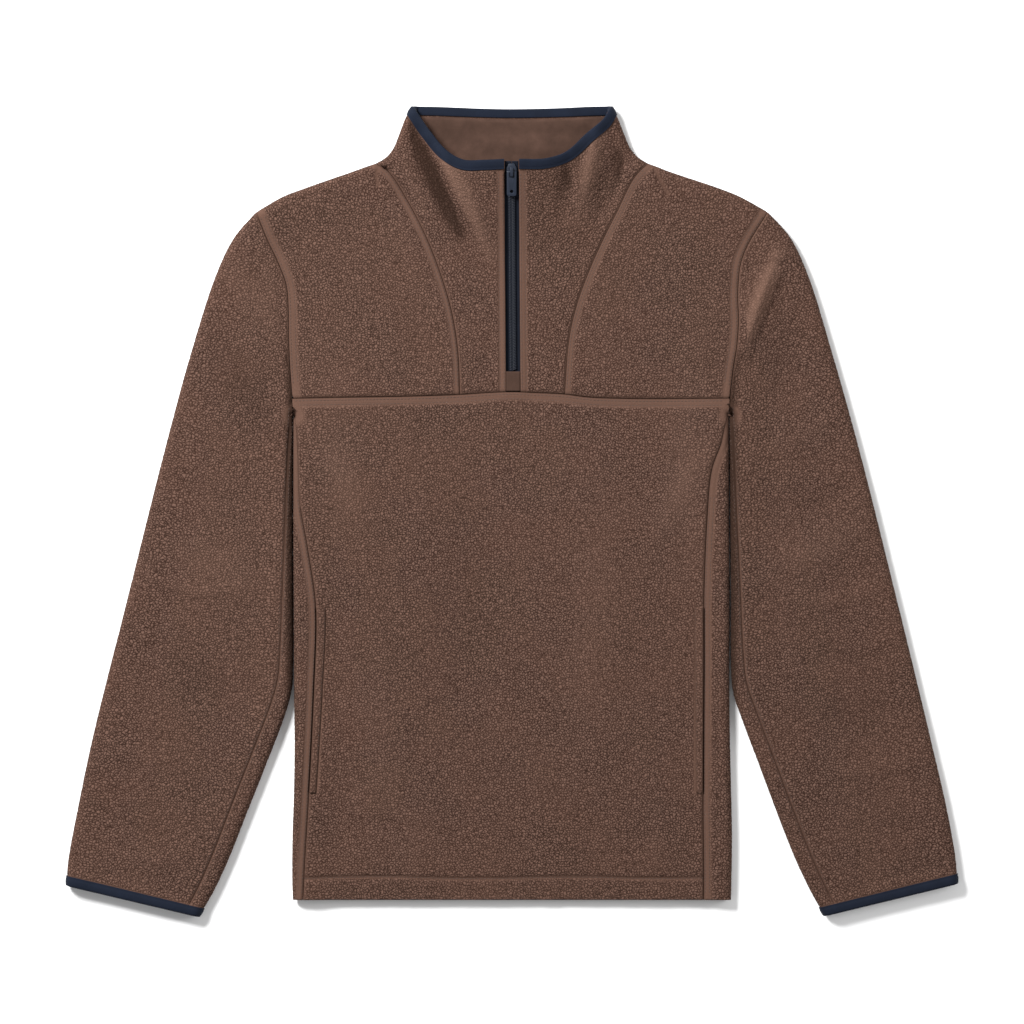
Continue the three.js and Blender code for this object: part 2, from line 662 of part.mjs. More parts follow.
// Columns run from the front seam over the side fold to the matching back seam.
function buildSidePanel(side) {
  const direction = sideDirection(side);
  const folds = [bodySideFolds[side]];
  const sections = bodyRows.map((y) => {
    const fold = pointAtHeight(curves[`bodySide${side}`], y);
    const seam = pointAtHeight(curves[`sideSeam${side}`], y);
    const reach = Math.abs(seam.x - fold.x) - seamGap;
    const roundReach = Math.min(reach, foldRadius);
    const endAngle = Math.acos(1 - roundReach / foldRadius);
    const flat = evenly(reach, roundReach, 2).slice(0, 2);
    const round = evenly(endAngle, 0, 3).map((angle) => foldRadius * (1 - Math.cos(angle)));
    const spread = flat.map((step, index) => Math.max(step, roundReach + narrowColumn * (2 - index)));
    const steps = [...spread, ...round];
    const place = (step) => vector(fold.x - direction * step, y);
    const upper = steps.map((step) => clothAt(place(step), folds, 1));
    const under = steps.slice(0, -1).reverse().map((step) => clothAt(place(step), folds, -1));
    return [...upper, ...under];
  });
  addPiece(`side_panel_${side.toLowerCase()}`, wallGeometry(sections), colours.fleece);
}

function buildBack() {
  const topLeft = sample(curves.shoulderLeft, evenly(curves.shoulderLeft.length, 0, yokeColumns));
  const neck = sample(curves.backNeckSeam, stationsBetweenFolds(curves.backNeckSeam.length, 5));
  const topRight = sample(curves.shoulderRight, evenly(0, curves.shoulderRight.length, yokeColumns));
  const top = [...topLeft, ...neck.slice(1, -1), ...topRight];
  const stations = (side) => [...armholeStations[side].upper, ...armholeStations[side].lower];
  const left = sample(curves.armholeLeft, stations('Left'));
  const right = sample(curves.armholeRight, stations('Right'));
  const topShares = shares(top);
  const leftFoot = left[left.length - 1];
  const rightFoot = right[right.length - 1];
  const bottom = topShares.map((share) => leftFoot.clone().lerp(rightFoot, share));
  const upper = patch({ top, bottom, left, right });
  const lower = bodyRows.map((y) => {
    const leftPoint = pointAtHeight(curves.sideSeamLeft, y);
    const rightPoint = pointAtHeight(curves.sideSeamRight, y);
    return topShares.map((share) => leftPoint.clone().lerp(rightPoint, share));
  });
  const rows = [...upper.slice(0, -1), ...lower];
  const plan = insetSides(rows, ['left', 'right']);
  const neckEdge = plan[0].slice(yokeColumns, -yokeColumns);
  neckEdge.forEach((point, index) => {
    plan[0][yokeColumns + index] = pulledIn(neckEdge, index, vector(point.x, 0));
  });
  addPiece('back_body', wallGeometry(clothGrid(plan, bodyFolds, -1)), colours.fleece);
}

function buildBackCollar() {
  const edge = curves.collarBackEdge;
  const neck = curves.backNeckSeam;
  const top = sample(edge, stationsBetweenFolds(edge.length, 5));
  const bottom = sample(neck, stationsBetweenFolds(neck.length, 5));
  const left = sample(curves.collarSideLeft, collarRowDistances('Left'));
  const right = sample(curves.collarSideRight, collarRowDistances('Right'));
  const plan = insetSides(patch({ top, bottom, left, right }), ['bottom']);
  const cloth = clothGrid(plan, bodyFolds, -1);
  addPiece('collar_back', wallGeometry(cloth), colours.fleece);
  return cloth;
}

// The smooth lining strip inside the back of the neck, below the binding.
function buildFacing() {
  const topHalfWidth = 99.5 - foldRadius - 1;
  const columns = 8;
  const sideRows = 4;
  const topY = (x) => pointAtAcross(curves.collarBackEdge, x).y - bindingWidth - trimClearance;
  const top = evenly(-topHalfWidth, topHalfWidth, columns).map((x) => vector(x, topY(x)));
  const lower = curves.facingLowerEdge;
  const bottom = sample(lower, evenly(0, lower.length, columns));
  const along = (start, end) => evenly(0, 1, sideRows).map((share) => start.clone().lerp(end, share));
  const left = along(top[0], bottom[0]);
  const right = along(top[columns], bottom[columns]);
  const plan = patch({ top, bottom, left, right });
  const cloth = clothGrid(plan, bodyFolds, -1);
  const near = -wallThickness - underLayerClearance;
  addPiece('collar_facing', wallGeometry(cloth, near, near - facingThickness), colours.facing);
}

// Shares of a sleeve's length at which its rows lie.
const sleeveRowShares = [0, 0.05, 0.12, 0.2, 0.29, 0.38, 0.47, 0.56, 0.65, 0.74, 0.83, 0.91];

// Plan columns of a sleeve run from its outer fold to its inner fold, rows from armhole to cuff.
function sleevePlan(side) {
  const { upper, lower } = armholeStations[side];
  const columns = [...upper, ...lower];
  const armhole = curves[`armhole${side}`];
  const outer = curves[`sleeveOuter${side}`];
  const inner = curves[`sleeveInner${side}`];
  const top = sample(armhole, columns);
  const cuffStart = outer.points[outer.points.length - 1];
  const cuffEnd = inner.points[inner.points.length - 1];
  const cuffLength = cuffStart.distanceTo(cuffEnd);
  const flatStart = foldSteps.length - 1;
  const flatEnd = columns.length - foldSteps.length;
  const seamColumn = flatEnd - 1;
  const flatShare = (index) => (columns[index] - foldRadius) / (columns[seamColumn] - foldRadius);
  const bottom = columns.map((unused, index) => {
    let distance = 0;
    if (index <= flatStart) distance = foldSteps[index];
    else if (index >= flatEnd) distance = cuffLength - foldSteps[columns.length - 1 - index];
    else distance = foldRadius + (cuffLength - underarmSeamInset - foldRadius) * flatShare(index);
    return cuffStart.clone().lerp(cuffEnd, distance / cuffLength);
  });
  const stations = (path) => [
    ...sleeveRowShares.map((share) => share * path.length),
    path.length - bindingWidth,
    path.length,
  ];
  const left = sample(outer, stations(outer));
  const right = sample(inner, stations(inner));
  bottom[0] = left[left.length - 1];
  bottom[bottom.length - 1] = right[right.length - 1];
  return { plan: patch({ top, bottom, left, right }), seamColumn };
}

// How many half seam gaps the sleeve's top stays off the body, near the shoulder's fold and below it.
const shoulderFoldShare = 7;
const sleeveTopShare = 2;

// The sleeve's tube starts and ends at its underarm seam, a little inside the inner fold.
function buildSleeve(side) {
  const folds = side === 'Left' ? sleeveFoldsLeft : sleeveFoldsRight;
  const { plan, seamColumn } = sleevePlan(side);
  const last = plan[0].length - 1;
  const rows = plan.map((row) => [...row]);
  rows[0] = plan[0].map((point, index) => {
    const share = index < foldSteps.length + 1 ? shoulderFoldShare : sleeveTopShare;
    return pulledIn(plan[0], index, plan[1][index], share);
  });
  const cloth = rows.map((row, rowIndex) => {
    const over = row.map((point, index) => {
      const edge = index === 0 || index === last;
      return clothAt(edge ? nearestFold(point, folds).foot : point, folds, 1);
    });
    const under = row.map((point) => clothAt(point, folds, -1));
    const seamEdge = rows.map((line) => line[seamColumn]);
    const startSeam = clothAt(pulledIn(seamEdge, rowIndex, row[seamColumn - 1]), folds, 1);
    const endSeam = clothAt(pulledIn(seamEdge, rowIndex, row[seamColumn + 1]), folds, 1);
    const across = over.slice(0, seamColumn).reverse();
    const beneath = under.slice(1, last);
    const back = over.slice(seamColumn + 1).reverse();
    return [startSeam, ...across, ...beneath, ...back, endSeam];
  });
  addPiece(`sleeve_${side.toLowerCase()}`, wallGeometry(cloth), colours.fleece);
  return cloth;
}

// A folded strip over the edge between an edge row and the row behind it.
function bindingGeometry(edgeRow, secondRow) {
  const sections = edgeRow.map((edgeEntry, index) => {
    const second = secondRow[index];
    const out = edgeEntry.outer.clone().sub(second.outer).normalize();
    const near = trimClearance;
    const far = trimClearance + bindingThickness;
    const at = (entry, offset, outward) => offsetPoint(entry, offset).addScaledVector(out, outward);
    return [
      at(second, near, 0),
      at(edgeEntry, near, near),
      at(edgeEntry, -wallThickness - near, near),
      at(second, -wallThickness - near, 0),
      at(second, -wallThickness - far, 0),
      at(edgeEntry, -wallThickness - far, far),
      at(edgeEntry, far, far),
      at(second, far, 0),
    ];
  });
  return sweptSolid(sections);
}

// A closed solid through sections of equal point counts, with flat ends.
function sweptSolid(sections) {
  const count = sections[0].length;
  const positions = sections.flat().flatMap((point) => [point.x, point.y, point.z]);
  const faces = [];
  for (let section = 0; section < sections.length - 1; section += 1) {
    for (let corner = 0; corner < count; corner += 1) {
      const a = section * count + corner;
      const b = section * count + (corner + 1) % count;
      faces.push(...quadFaces(positions, [a, b, b + count, a + count]));
    }
  }
  const capPairs = [[0, 1, 6], [0, 6, 7], [1, 2, 5], [1, 5, 6], [2, 3, 4], [2, 4, 5]];
  const end = (sections.length - 1) * count;
  for (const [a, b, c] of capPairs) {
    faces.push(a, c, b);
    faces.push(end + a, end + b, end + c);
  }
  return closedGeometry(positions, faces);
}

function buildCollarBinding(leftCentre, collarBack, rightCentre) {
  const chain = (row) => [
    ...[...leftCentre[row]].reverse(),
    ...collarBack[row].slice(1, -1),
    ...rightCentre[row],
  ];
  addPiece('collar_binding', bindingGeometry(chain(0), chain(1)), colours.navy, 0.8);
}

function buildCuffBinding(side, sleeve) {
  const rows = sleeve.length;
  const geometry = bindingGeometry(sleeve[rows - 1], sleeve[rows - 2]);
  addPiece(`cuff_binding_${side.toLowerCase()}`, geometry, colours.navy, 0.8);
}

// Strips that follow the upper layer along the zip.
function zipStrip(y0, y1, steps, nearX, farX, outerOffset, innerOffset) {
  const rows = evenly(y0, y1, steps).map((y) => {
    return [nearX(y), farX(y)].map((x) => clothAt(vector(x, y), bodyFolds, 1));
  });
  return wallGeometry(rows, outerOffset, innerOffset);
}

const zipTopY = 329;
const zipTapeEndY = 113.2;
const zipCoilTopY = 311;
const zipCoilEndY = 132;
const tapeTop = -wallThickness - underLayerClearance;
const stopPatchTop = -0.9;
const stopPatchThickness = 1.2;

function buildZip() {
  for (const side of ['Left', 'Right']) {
    const direction = sideDirection(side);
    const shownTopY = zipTopY - bindingWidth - 2;
    const inner = (y) => zipCentre(y) + direction * seamGap / 2;
    const outer = (y) => zipCentre(y) + direction * (zipHalfOpening + tapeHidden);
    addPiece(
      `zip_tape_${side.toLowerCase()}`,
      zipStrip(shownTopY, zipTapeEndY, 14, inner, outer, tapeTop, tapeTop - tapeThickness),
      colours.navy,
      0.85,
    );
  }
  const coilBase = tapeTop + trimClearance;
  const left = (y) => zipCentre(y) - coilWidth / 2;
  const right = (y) => zipCentre(y) + coilWidth / 2;
  const coil = zipStrip(zipCoilTopY, zipCoilEndY, 14, left, right, coilBase + coilHeight, coilBase);
  addPiece('zip_coil', coil, colours.navy, 0.6);
  const patchLeft = (y) => zipCentre(y) - zipHalfOpening + trimClearance;
  const patchRight = (y) => zipCentre(y) + zipHalfOpening - trimClearance;
  const stopTopY = zipCoilEndY - seamGap;
  const stopUnderside = stopPatchTop - stopPatchThickness;
  const stop = zipStrip(stopTopY, zipTapeEndY, 2, patchLeft, patchRight, stopPatchTop, stopUnderside);
  addPiece('zip_stop_patch', stop, colours.facing);
}

// Slider and pull tab, in a frame that lies along the rising zip.
const sliderY = 319.5;
const sliderWidth = 9.2;
const sliderLength = 15;
const sliderHeight = 3.4;
const bridgeWidth = 2.8;
const bridgeSpan = 5.6;
const bridgeHeight = 2.9;
const bridgeThickness = 1.1;
const tabWidth = 9;
const tabLength = 23;
const tabThickness = 1.4;
const tabPivotHeight = 1.3;
const tabBarRadius = 0.7;
const tabWindowWidth = 4.2;
const tabWindowLength = 5.2;

function toManifold(geometry) {
  const plain = geometry.clone();
  plain.deleteAttribute('normal');
  plain.deleteAttribute('uv');
  const merged = mergeVertices(plain);
  return new wasm.Manifold(new wasm.Mesh({
    numProp: 3,
    vertProperties: new Float32Array(merged.attributes.position.array),
    triVerts: new Uint32Array(merged.index.array),
  }));
}

function fromManifold(solid) {
  const mesh = solid.getMesh();
  const geometry = new THREE.BufferGeometry();
  geometry.setAttribute('position', new THREE.Float32BufferAttribute(mesh.vertProperties, 3));
  geometry.setIndex(Array.from(mesh.triVerts));
  geometry.computeVertexNormals();
  return geometry;
}

function block(width, length, height, x, y, z) {
  return toManifold(new THREE.BoxGeometry(width, length, height).translate(x, y, z));
}

function sliderGeometry() {
  const outline = new THREE.Shape();
  const half = sliderWidth / 2;
  outline.moveTo(-half + 1.6, -sliderLength / 2);
  outline.lineTo(half - 1.6, -sliderLength / 2);
  outline.lineTo(half, -sliderLength / 2 + 3);
  outline.lineTo(half, sliderLength / 2 - 4);
  outline.lineTo(half - 2, sliderLength / 2);
  outline.lineTo(-half + 2, sliderLength / 2);
  outline.lineTo(-half, sliderLength / 2 - 4);
  outline.lineTo(-half, -sliderLength / 2 + 3);
  const plate = new THREE.ExtrudeGeometry(outline, { depth: sliderHeight, bevelEnabled: false });
  const legHeight = bridgeHeight + 0.4;
  const legZ = sliderHeight - 0.4 + legHeight / 2;
  const legY = bridgeSpan / 2 + bridgeThickness / 2;
  const topZ = sliderHeight + bridgeHeight + bridgeThickness / 2;
  const solid = toManifold(plate)
    .add(block(bridgeWidth, bridgeThickness, legHeight, 0, legY, legZ))
    .add(block(bridgeWidth, bridgeThickness, legHeight, 0, -legY, legZ))
    .add(block(bridgeWidth, bridgeSpan + 2 * bridgeThickness, bridgeThickness, 0, 0, topZ));
  return fromManifold(solid);
}

// The tab's pivot bar is on its origin and the tab points to -Y.
function pullGeometry() {
  const half = tabWidth / 2;
  const tip = 2.4;
  const outline = new THREE.Shape();
  outline.moveTo(-half, 0);
  outline.lineTo(-half, -tabLength + tip);
  outline.quadraticCurveTo(-half, -tabLength, -half + tip, -tabLength);
  outline.lineTo(half - tip, -tabLength);
  outline.quadraticCurveTo(half, -tabLength, half, -tabLength + tip);
  outline.lineTo(half, 0);
  const windowPath = new THREE.Path();
  const windowHalf = tabWindowWidth / 2;
  windowPath.moveTo(-windowHalf, 0.1);
  windowPath.lineTo(windowHalf, 0.1);
  windowPath.lineTo(windowHalf, -tabWindowLength);
  windowPath.lineTo(-windowHalf, -tabWindowLength);
  const eye = new THREE.Path();
  eye.absarc(0, -tabLength + 4.4, 1.7, 0, Math.PI * 2, true);
  outline.holes.push(eye);
  const settings = { depth: tabThickness, bevelEnabled: false, curveSegments: 5 };
  const plate = new THREE.ExtrudeGeometry(outline, settings);
  plate.translate(0, 0, -tabThickness / 2);
  const opening = new THREE.BoxGeometry(tabWindowWidth, tabWindowLength + 2, tabThickness * 3);
  opening.translate(0, -tabWindowLength / 2 + 1, 0);
  const bar = new THREE.CylinderGeometry(tabBarRadius, tabBarRadius, tabWidth, 12).rotateZ(Math.PI / 2);
  return fromManifold(toManifold(plate).subtract(toManifold(opening)).add(toManifold(bar)));
}

function buildSlider() {
  const rise = (y) => clothAt(vector(zipCentre(y), y), bodyFolds, 1).outer.z + tapeTop;
  const slope = Math.atan2(rise(sliderY + 6) - rise(sliderY - 14), 20);
  const frame = new THREE.Group();
  frame.position.set(zipCentre(sliderY), sliderY, rise(sliderY) + trimClearance);
  frame.rotation.x = slope;
  garment.add(frame);
  addPiece('zip_slider', sliderGeometry(), colours.tab, 0.45, 0.5, frame);
  const pull = addPiece('zip_pull', pullGeometry(), colours.tab, 0.45, 0.5, frame);
  pull.position.set(0, 0, sliderHeight + tabPivotHeight);
}

// A narrow strip on the front beside each pocket opening in the side-panel seam.
function buildPocketWelt(side, frontCloth) {
  const firstRow = bodyRows.indexOf(pocketTopY) + 1;
  const lastRow = bodyRows.indexOf(pocketEndY) + 1;
  const besideSeam = (row) => (side === 'Left' ? row.slice(0, 2) : row.slice(-2));
  const rows = frontCloth.slice(firstRow, lastRow + 1).map(besideSeam);
  const near = trimClearance;
  const geometry = wallGeometry(rows, near + pocketWeltThickness, near);
  addPiece(`pocket_welt_${side.toLowerCase()}`, geometry, colours.facing);
}

const frontCloth = buildFrontBody();
buildYoke('Left');
buildYoke('Right');
const leftCentreCloth = buildCentre('Left');
const rightCentreCloth = buildCentre('Right');
buildBack();
const backCollarCloth = buildBackCollar();
buildFacing();
buildSidePanel('Left');
buildSidePanel('Right');
const leftSleeveCloth = buildSleeve('Left');
const rightSleeveCloth = buildSleeve('Right');
buildCollarBinding(leftCentreCloth, backCollarCloth, rightCentreCloth);
buildCuffBinding('Left', leftSleeveCloth);
buildCuffBinding('Right', rightSleeveCloth);
buildZip();
buildSlider();
buildPocketWelt('Left', frontCloth);
buildPocketWelt('Right', frontCloth);

export default garment;
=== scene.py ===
"""A quarter-zip pullover of thick sherpa fleece with navy bindings, laid flat with its front up."""

import math
from contextlib import contextmanager

import bpy
import numpy as np
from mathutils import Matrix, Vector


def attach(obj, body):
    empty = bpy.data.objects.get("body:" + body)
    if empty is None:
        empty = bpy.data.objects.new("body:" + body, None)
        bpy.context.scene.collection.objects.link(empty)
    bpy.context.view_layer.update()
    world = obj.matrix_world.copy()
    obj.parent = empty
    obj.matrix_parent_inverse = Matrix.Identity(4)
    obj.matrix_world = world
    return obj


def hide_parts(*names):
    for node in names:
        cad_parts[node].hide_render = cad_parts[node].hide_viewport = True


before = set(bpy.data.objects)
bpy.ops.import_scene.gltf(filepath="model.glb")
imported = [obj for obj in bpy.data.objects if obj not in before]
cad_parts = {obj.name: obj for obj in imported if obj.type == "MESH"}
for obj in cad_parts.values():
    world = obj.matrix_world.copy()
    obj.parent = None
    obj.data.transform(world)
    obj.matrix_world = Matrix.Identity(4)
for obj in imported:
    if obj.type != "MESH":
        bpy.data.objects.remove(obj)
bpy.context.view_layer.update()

# Lengths are in millimetres until a mesh is made.
MM = 0.001
WALL = 3.8
FOLD_RADIUS = 6.5
SEAM_INSET = 0.15
TRIM_CLEARANCE = 0.3
UNDER_LAYER_CLEARANCE = 0.5
BODY_SETTLE = 3.4
SLEEVE_SETTLE = 2.0
CUFF_SETTLE = 0.6
SETTLE_DISTANCE = 40
BINDING_WIDTH = 8.4
BINDING_THICKNESS = 1.0
FACING_THICKNESS = 1.0
PATCH_THICKNESS = 1.2
TAPE_THICKNESS = 0.9
WELT_THICKNESS = 0.9
ZIP_HALF_OPENING = 7
TAPE_HIDDEN = 7
POCKET_WELT_WIDTH = 8
UNDERARM_SEAM_INSET = 13.5
UNDERARM_X = 205.2
UNDERARM_Y = 90.7
HEM_Y = -365.2
POCKET_TOP_Y = -89.8
POCKET_END_Y = -264.6
ZIP_TOP_Y = 329
ZIP_TAPE_END_Y = 113.2
COIL_TOP_Y = 311
COIL_END_Y = 132

# Outline and seam curves, each through its rows of x and y.
CURVE_ROWS = {
    "collar_side_left": [(-94.0, 380.2), (-99.6, 371.0), (-105.3, 356.7), (-111.5, 341.5), (-118.5, 333.0),
        (-127.8, 327.6)],
    "collar_side_right": [(94.0, 380.2), (98.9, 371.0), (104.6, 356.7), (111.3, 341.5), (118.5, 333.0),
        (127.8, 327.6)],
    "shoulder_left": [(-127.8, 327.6), (-151.3, 319.1), (-173.0, 311.6), (-193.6, 304.3), (-215.0, 296.2),
        (-240.6, 281.5)],
    "shoulder_right": [(127.8, 327.6), (149.5, 319.1), (172.0, 311.6), (193.6, 304.3), (214.0, 296.2),
        (240.6, 281.5)],
    "sleeve_outer_left": [(-240.6, 281.5), (-260.4, 259.0), (-277.3, 225.1), (-302.7, 146.2),
        (-327.1, 55.9), (-361.0, -79.4), (-394.8, -214.8), (-408.9, -282.5), (-417.6, -330.0),
        (-418.6, -350.8)],
    "sleeve_outer_right": [(240.6, 281.5), (260.8, 259.0), (277.3, 225.1), (301.9, 146.2), (327.1, 55.9),
        (361.0, -79.4), (393.9, -214.8), (409.4, -282.5), (417.6, -330.0), (418.6, -349.0)],
    "sleeve_inner_left": [(-206.2, 90.7), (-206.6, 10.8), (-206.2, -83.2), (-206.2, -139.6),
        (-207.4, -168.0), (-214.0, -192.2), (-231.2, -237.3), (-249.1, -282.5), (-267.0, -327.6),
        (-281.0, -357.7), (-294.3, -380.2)],
    "sleeve_inner_right": [(204.6, 90.7), (205.2, 10.8), (205.9, -83.2), (206.0, -139.6), (208.0, -169.7),
        (215.3, -192.2), (232.2, -237.3), (249.1, -282.5), (267.0, -327.6), (281.0, -357.0),
        (293.6, -379.4)],
    "body_side_left": [(-205.6, 90.7), (-205.9, 10.8), (-205.4, -83.2), (-204.9, -167.8), (-204.4, -214.8),
        (-204.9, -259.9), (-206.3, -305.0), (-206.6, -346.4), (-205.9, -365.2)],
    "body_side_right": [(204.0, 90.7), (204.2, 10.8), (204.6, -83.2), (204.3, -167.8), (204.9, -214.8),
        (205.9, -259.9), (206.8, -305.0), (206.3, -346.4), (205.9, -365.2)],
    "armhole_left": [(-240.6, 281.5), (-229.4, 254.3), (-220.9, 236.4), (-212.4, 213.8), (-210.3, 192.0),
        (-210.0, 165.0), (-208.7, 135.8), (-206.8, 108.6), (-205.9, 90.7)],
    "armhole_right": [(240.6, 281.5), (222.8, 252.4), (215.3, 233.6), (212.4, 205.4), (213.0, 180.0),
        (211.4, 156.5), (207.9, 133.9), (204.9, 107.6), (204.3, 90.7)],
    "princess_left": [(-127.8, 327.6), (-115.6, 319.0), (-99.6, 294.7), (-80.8, 258.5), (-66.7, 222.3),
        (-56.4, 186.6), (-50.8, 150.9), (-48.9, 109.6)],
    "princess_right": [(127.8, 327.6), (114.7, 313.4), (98.3, 281.0), (88.0, 260.7), (73.9, 229.8),
        (61.1, 195.0), (53.6, 162.0), (49.4, 110.2)],
    "side_seam_left": [(-204.6, 90.7), (-202.1, 57.8), (-200.2, 12.7), (-191.8, -36.2), (-184.3, -89.8),
        (-186.1, -167.8), (-190.8, -264.6), (-194.6, -327.6), (-196.5, -365.2)],
    "side_seam_right": [(203.0, 90.7), (197.0, 65.2), (187.7, 38.8), (183.3, -8.9), (180.5, -80.4),
        (180.3, -142.4), (179.7, -274.0), (180.3, -340.3), (180.1, -365.2)],
    "yoke_seam": [(-206.8, 106.2), (-156.0, 107.2), (-105.3, 108.0), (-49.8, 109.8), (-20.0, 111.8),
        (2.0, 112.4), (22.0, 111.6), (49.4, 110.2), (72.4, 107.3), (101.5, 106.2), (140.1, 105.9),
        (204.9, 106.4)],
    "collar_back_edge": [(-94.0, 380.2), (-67.7, 379.6), (-30.1, 378.0), (0.0, 377.4), (45.1, 378.4),
        (73.3, 379.8), (94.0, 380.2)],
    "collar_front_edge_left": [(-94.0, 380.2), (-77.1, 356.0), (-62.0, 338.0), (-46.1, 329.0),
        (-25.4, 328.5), (-7.5, 329.2)],
    "collar_front_edge_right": [(94.0, 380.2), (86.5, 368.0), (70.5, 354.0), (51.7, 337.0), (32.0, 330.0),
        (6.6, 329.2)],
    "back_neck_seam": [(-127.8, 327.6), (0.0, 327.6), (127.8, 327.6)],
    "facing_lower_edge": [(-116.0, 322.0), (-60.0, 297.0), (0.0, 288.0), (60.0, 297.0), (116.0, 322.0)],
    "hem_stitch": [(-201.0, -345.0), (-120.0, -343.6), (-40.0, -345.4), (60.0, -343.9), (130.0, -345.2),
        (193.0, -344.4)],
    "shoulder_tick_left": [(-126.5, 325.0), (-127.6, 316.0), (-126.0, 306.5)],
    "shoulder_tick_right": [(134.0, 323.5), (139.5, 311.5), (146.8, 298.6)],
}

# Soft ridges and troughs: x and y at the start, the pull and the end, then height and half width.
MAIN_FOLDS = [
    (-95, 366, -78, 318, -39, 236, -3.4, 8),
    (-78, 350, -50, 322, -19, 236, 4.2, 10),
    (84, 372, 76, 330, 62, 270, 3.6, 11),
    (104, 346, 100, 320, 84, 284, -2.6, 9),
    (50, 326, 53, 312, 46, 280, -2.4, 8),
    (252, 240, 236, 200, 220, 150, 5.0, 13),
    (262, 196, 250, 150, 236, 96, -1.8, 18),
    (-262, 232, -240, 196, -226, 140, 2.6, 15),
    (-290, 168, -250, 120, -216, 60, -1.9, 26),
    (-330, -20, -280, -60, -225, -70, 1.8, 24),
    (-340, -150, -300, -170, -250, -160, -1.4, 20),
    (340, 0, 290, -40, 230, -60, 1.9, 22),
    (372, -170, 320, -190, 262, -190, -1.4, 20),
    (-180, 150, -150, 60, -165, -60, 1.6, 26),
    (175, 160, 150, 40, 168, -60, 1.8, 24),
    (-60, 60, -30, -60, -70, -200, -1.2, 34),
    (70, 30, 90, -90, 60, -230, 1.5, 30),
    (-140, -120, -110, -220, -130, -330, 1.4, 26),
]
SMALL_FOLDS = [
    (-94, 364, -78, 318, -46, 262, -5.0, 7),
    (-92, 352, -74, 306, -50, 262, -2.0, 4),
    (-106, 346, -96, 306, -72, 262, 1.8, 6),
    (-78, 352, -56, 318, -22, 244, 2.6, 6),
    (-56, 326, -44, 300, -32, 262, -1.4, 4),
    (-118, 300, -100, 262, -84, 214, 1.0, 8),
    (82, 366, 78, 336, 66, 300, 1.8, 6),
    (98, 352, 104, 330, 98, 306, -2.2, 5),
    (52, 328, 54, 316, 58, 296, -1.8, 5),
    (112, 322, 98, 286, 92, 250, 1.2, 8),
    (248, 240, 231, 196, 217, 152, 3.6, 5),
    (262, 232, 244, 186, 228, 142, -3.0, 7),
    (230, 262, 221, 240, 219, 214, -1.2, 5),
    (-236, 256, -226, 222, -219, 182, 1.4, 6),
    (-252, 214, -236, 176, -226, 130, -1.3, 7),
    (-200, 82, -162, 44, -128, -18, 1.0, 12),
    (198, 72, 152, 24, 124, -56, 1.1, 11),
    (0, 104, 12, 58, 4, 0, -0.7, 9),
    (-96, 88, -84, 30, -92, -40, 0.8, 11),
    (40, 84, 52, 44, 36, -12, 0.7, 10),
    (-90, -362, -98, -322, -80, -268, 1.2, 14),
    (58, -362, 72, -330, 64, -286, -1.0, 11),
    (130, -360, 142, -318, 122, -258, 1.1, 12),
    (-20, -360, -14, -328, -26, -296, 0.9, 10),
    (-160, -300, -120, -286, -96, -300, -0.8, 9),
    (-326, 36, -286, 8, -232, 14, -1.2, 8),
    (-346, -58, -304, -84, -258, -72, 1.1, 8),
    (-362, -112, -322, -140, -276, -150, -1.0, 7),
    (-388, -214, -352, -236, -300, -238, 0.9, 9),
    (-402, -268, -372, -294, -322, -300, -0.9, 8),
    (-398, -312, -356, -334, -312, -330, 0.8, 7),
    (308, 96, 272, 60, 228, 52, 1.2, 10),
    (330, 30, 290, 4, 246, 10, -1.3, 8),
    (352, -66, 312, -92, 262, -84, 1.2, 8),
    (368, -128, 330, -146, 284, -138, -1.0, 7),
    (392, -222, 352, -250, 300, -244, 1.0, 9),
    (404, -286, 372, -304, 330, -300, -0.8, 7),
]
# Creases of the under layer, which lift a little off what it lies on.
BACK_FOLDS = [
    (-120, 280, -96, 180, -112, 70, 1.2, 12),
    (20, 300, 44, 200, 30, 96, 0.9, 15),
    (150, 220, 118, 120, 140, 20, 1.2, 13),
    (-190, 60, -120, 20, -60, -60, 1.0, 10),
    (190, 40, 140, -40, 88, -90, 1.1, 11),
    (-60, -60, -92, -170, -70, -300, 1.0, 16),
    (66, -110, 84, -210, 60, -350, 1.2, 12),
    (-262, 190, -250, 110, -236, 30, 1.0, 11),
    (-330, 20, -290, -20, -240, -30, 1.2, 9),
    (-370, -140, -330, -180, -270, -180, 1.0, 10),
    (262, 200, 250, 120, 238, 20, 1.1, 12),
    (336, -10, 290, -60, 236, -60, 1.2, 9),
    (384, -190, 340, -220, 280, -220, 1.0, 11),
]


def smooth(value):
    t = np.clip(value, 0, 1)
    return t * t * (3 - 2 * t)


def evenly(start, end, steps):
    return np.linspace(start, end, steps + 1)


def unit(rows):
    """Each row brought to length one."""
    return rows / np.linalg.norm(rows, axis=1)[:, None]


class Path:
    """A line through plan points with its running length."""

    def __init__(self, points):
        self.points = np.asarray(points, float)
        steps = np.linalg.norm(np.diff(self.points, axis=0), axis=1)
        self.lengths = np.concatenate([[0], np.cumsum(steps)])
        self.length = self.lengths[-1]
        self.turn = 1

    def turned(self, turn):
        """The same line as a fold, with the cloth to its left for 1 and to its right for -1."""
        fold = Path(self.points)
        fold.turn = turn
        return fold

    def at(self, distances):
        distances = np.clip(distances, 0, self.length)
        return np.stack([np.interp(distances, self.lengths, self.points[:, k]) for k in (0, 1)], -1)

    def at_height(self, y):
        x = np.interp(-np.asarray(y, float), -self.points[:, 1], self.points[:, 0])
        return np.stack([x, np.clip(y, self.points[-1, 1], self.points[0, 1])], -1)

    def at_across(self, x):
        return np.stack([x, np.interp(x, self.points[:, 0], self.points[:, 1])], -1)


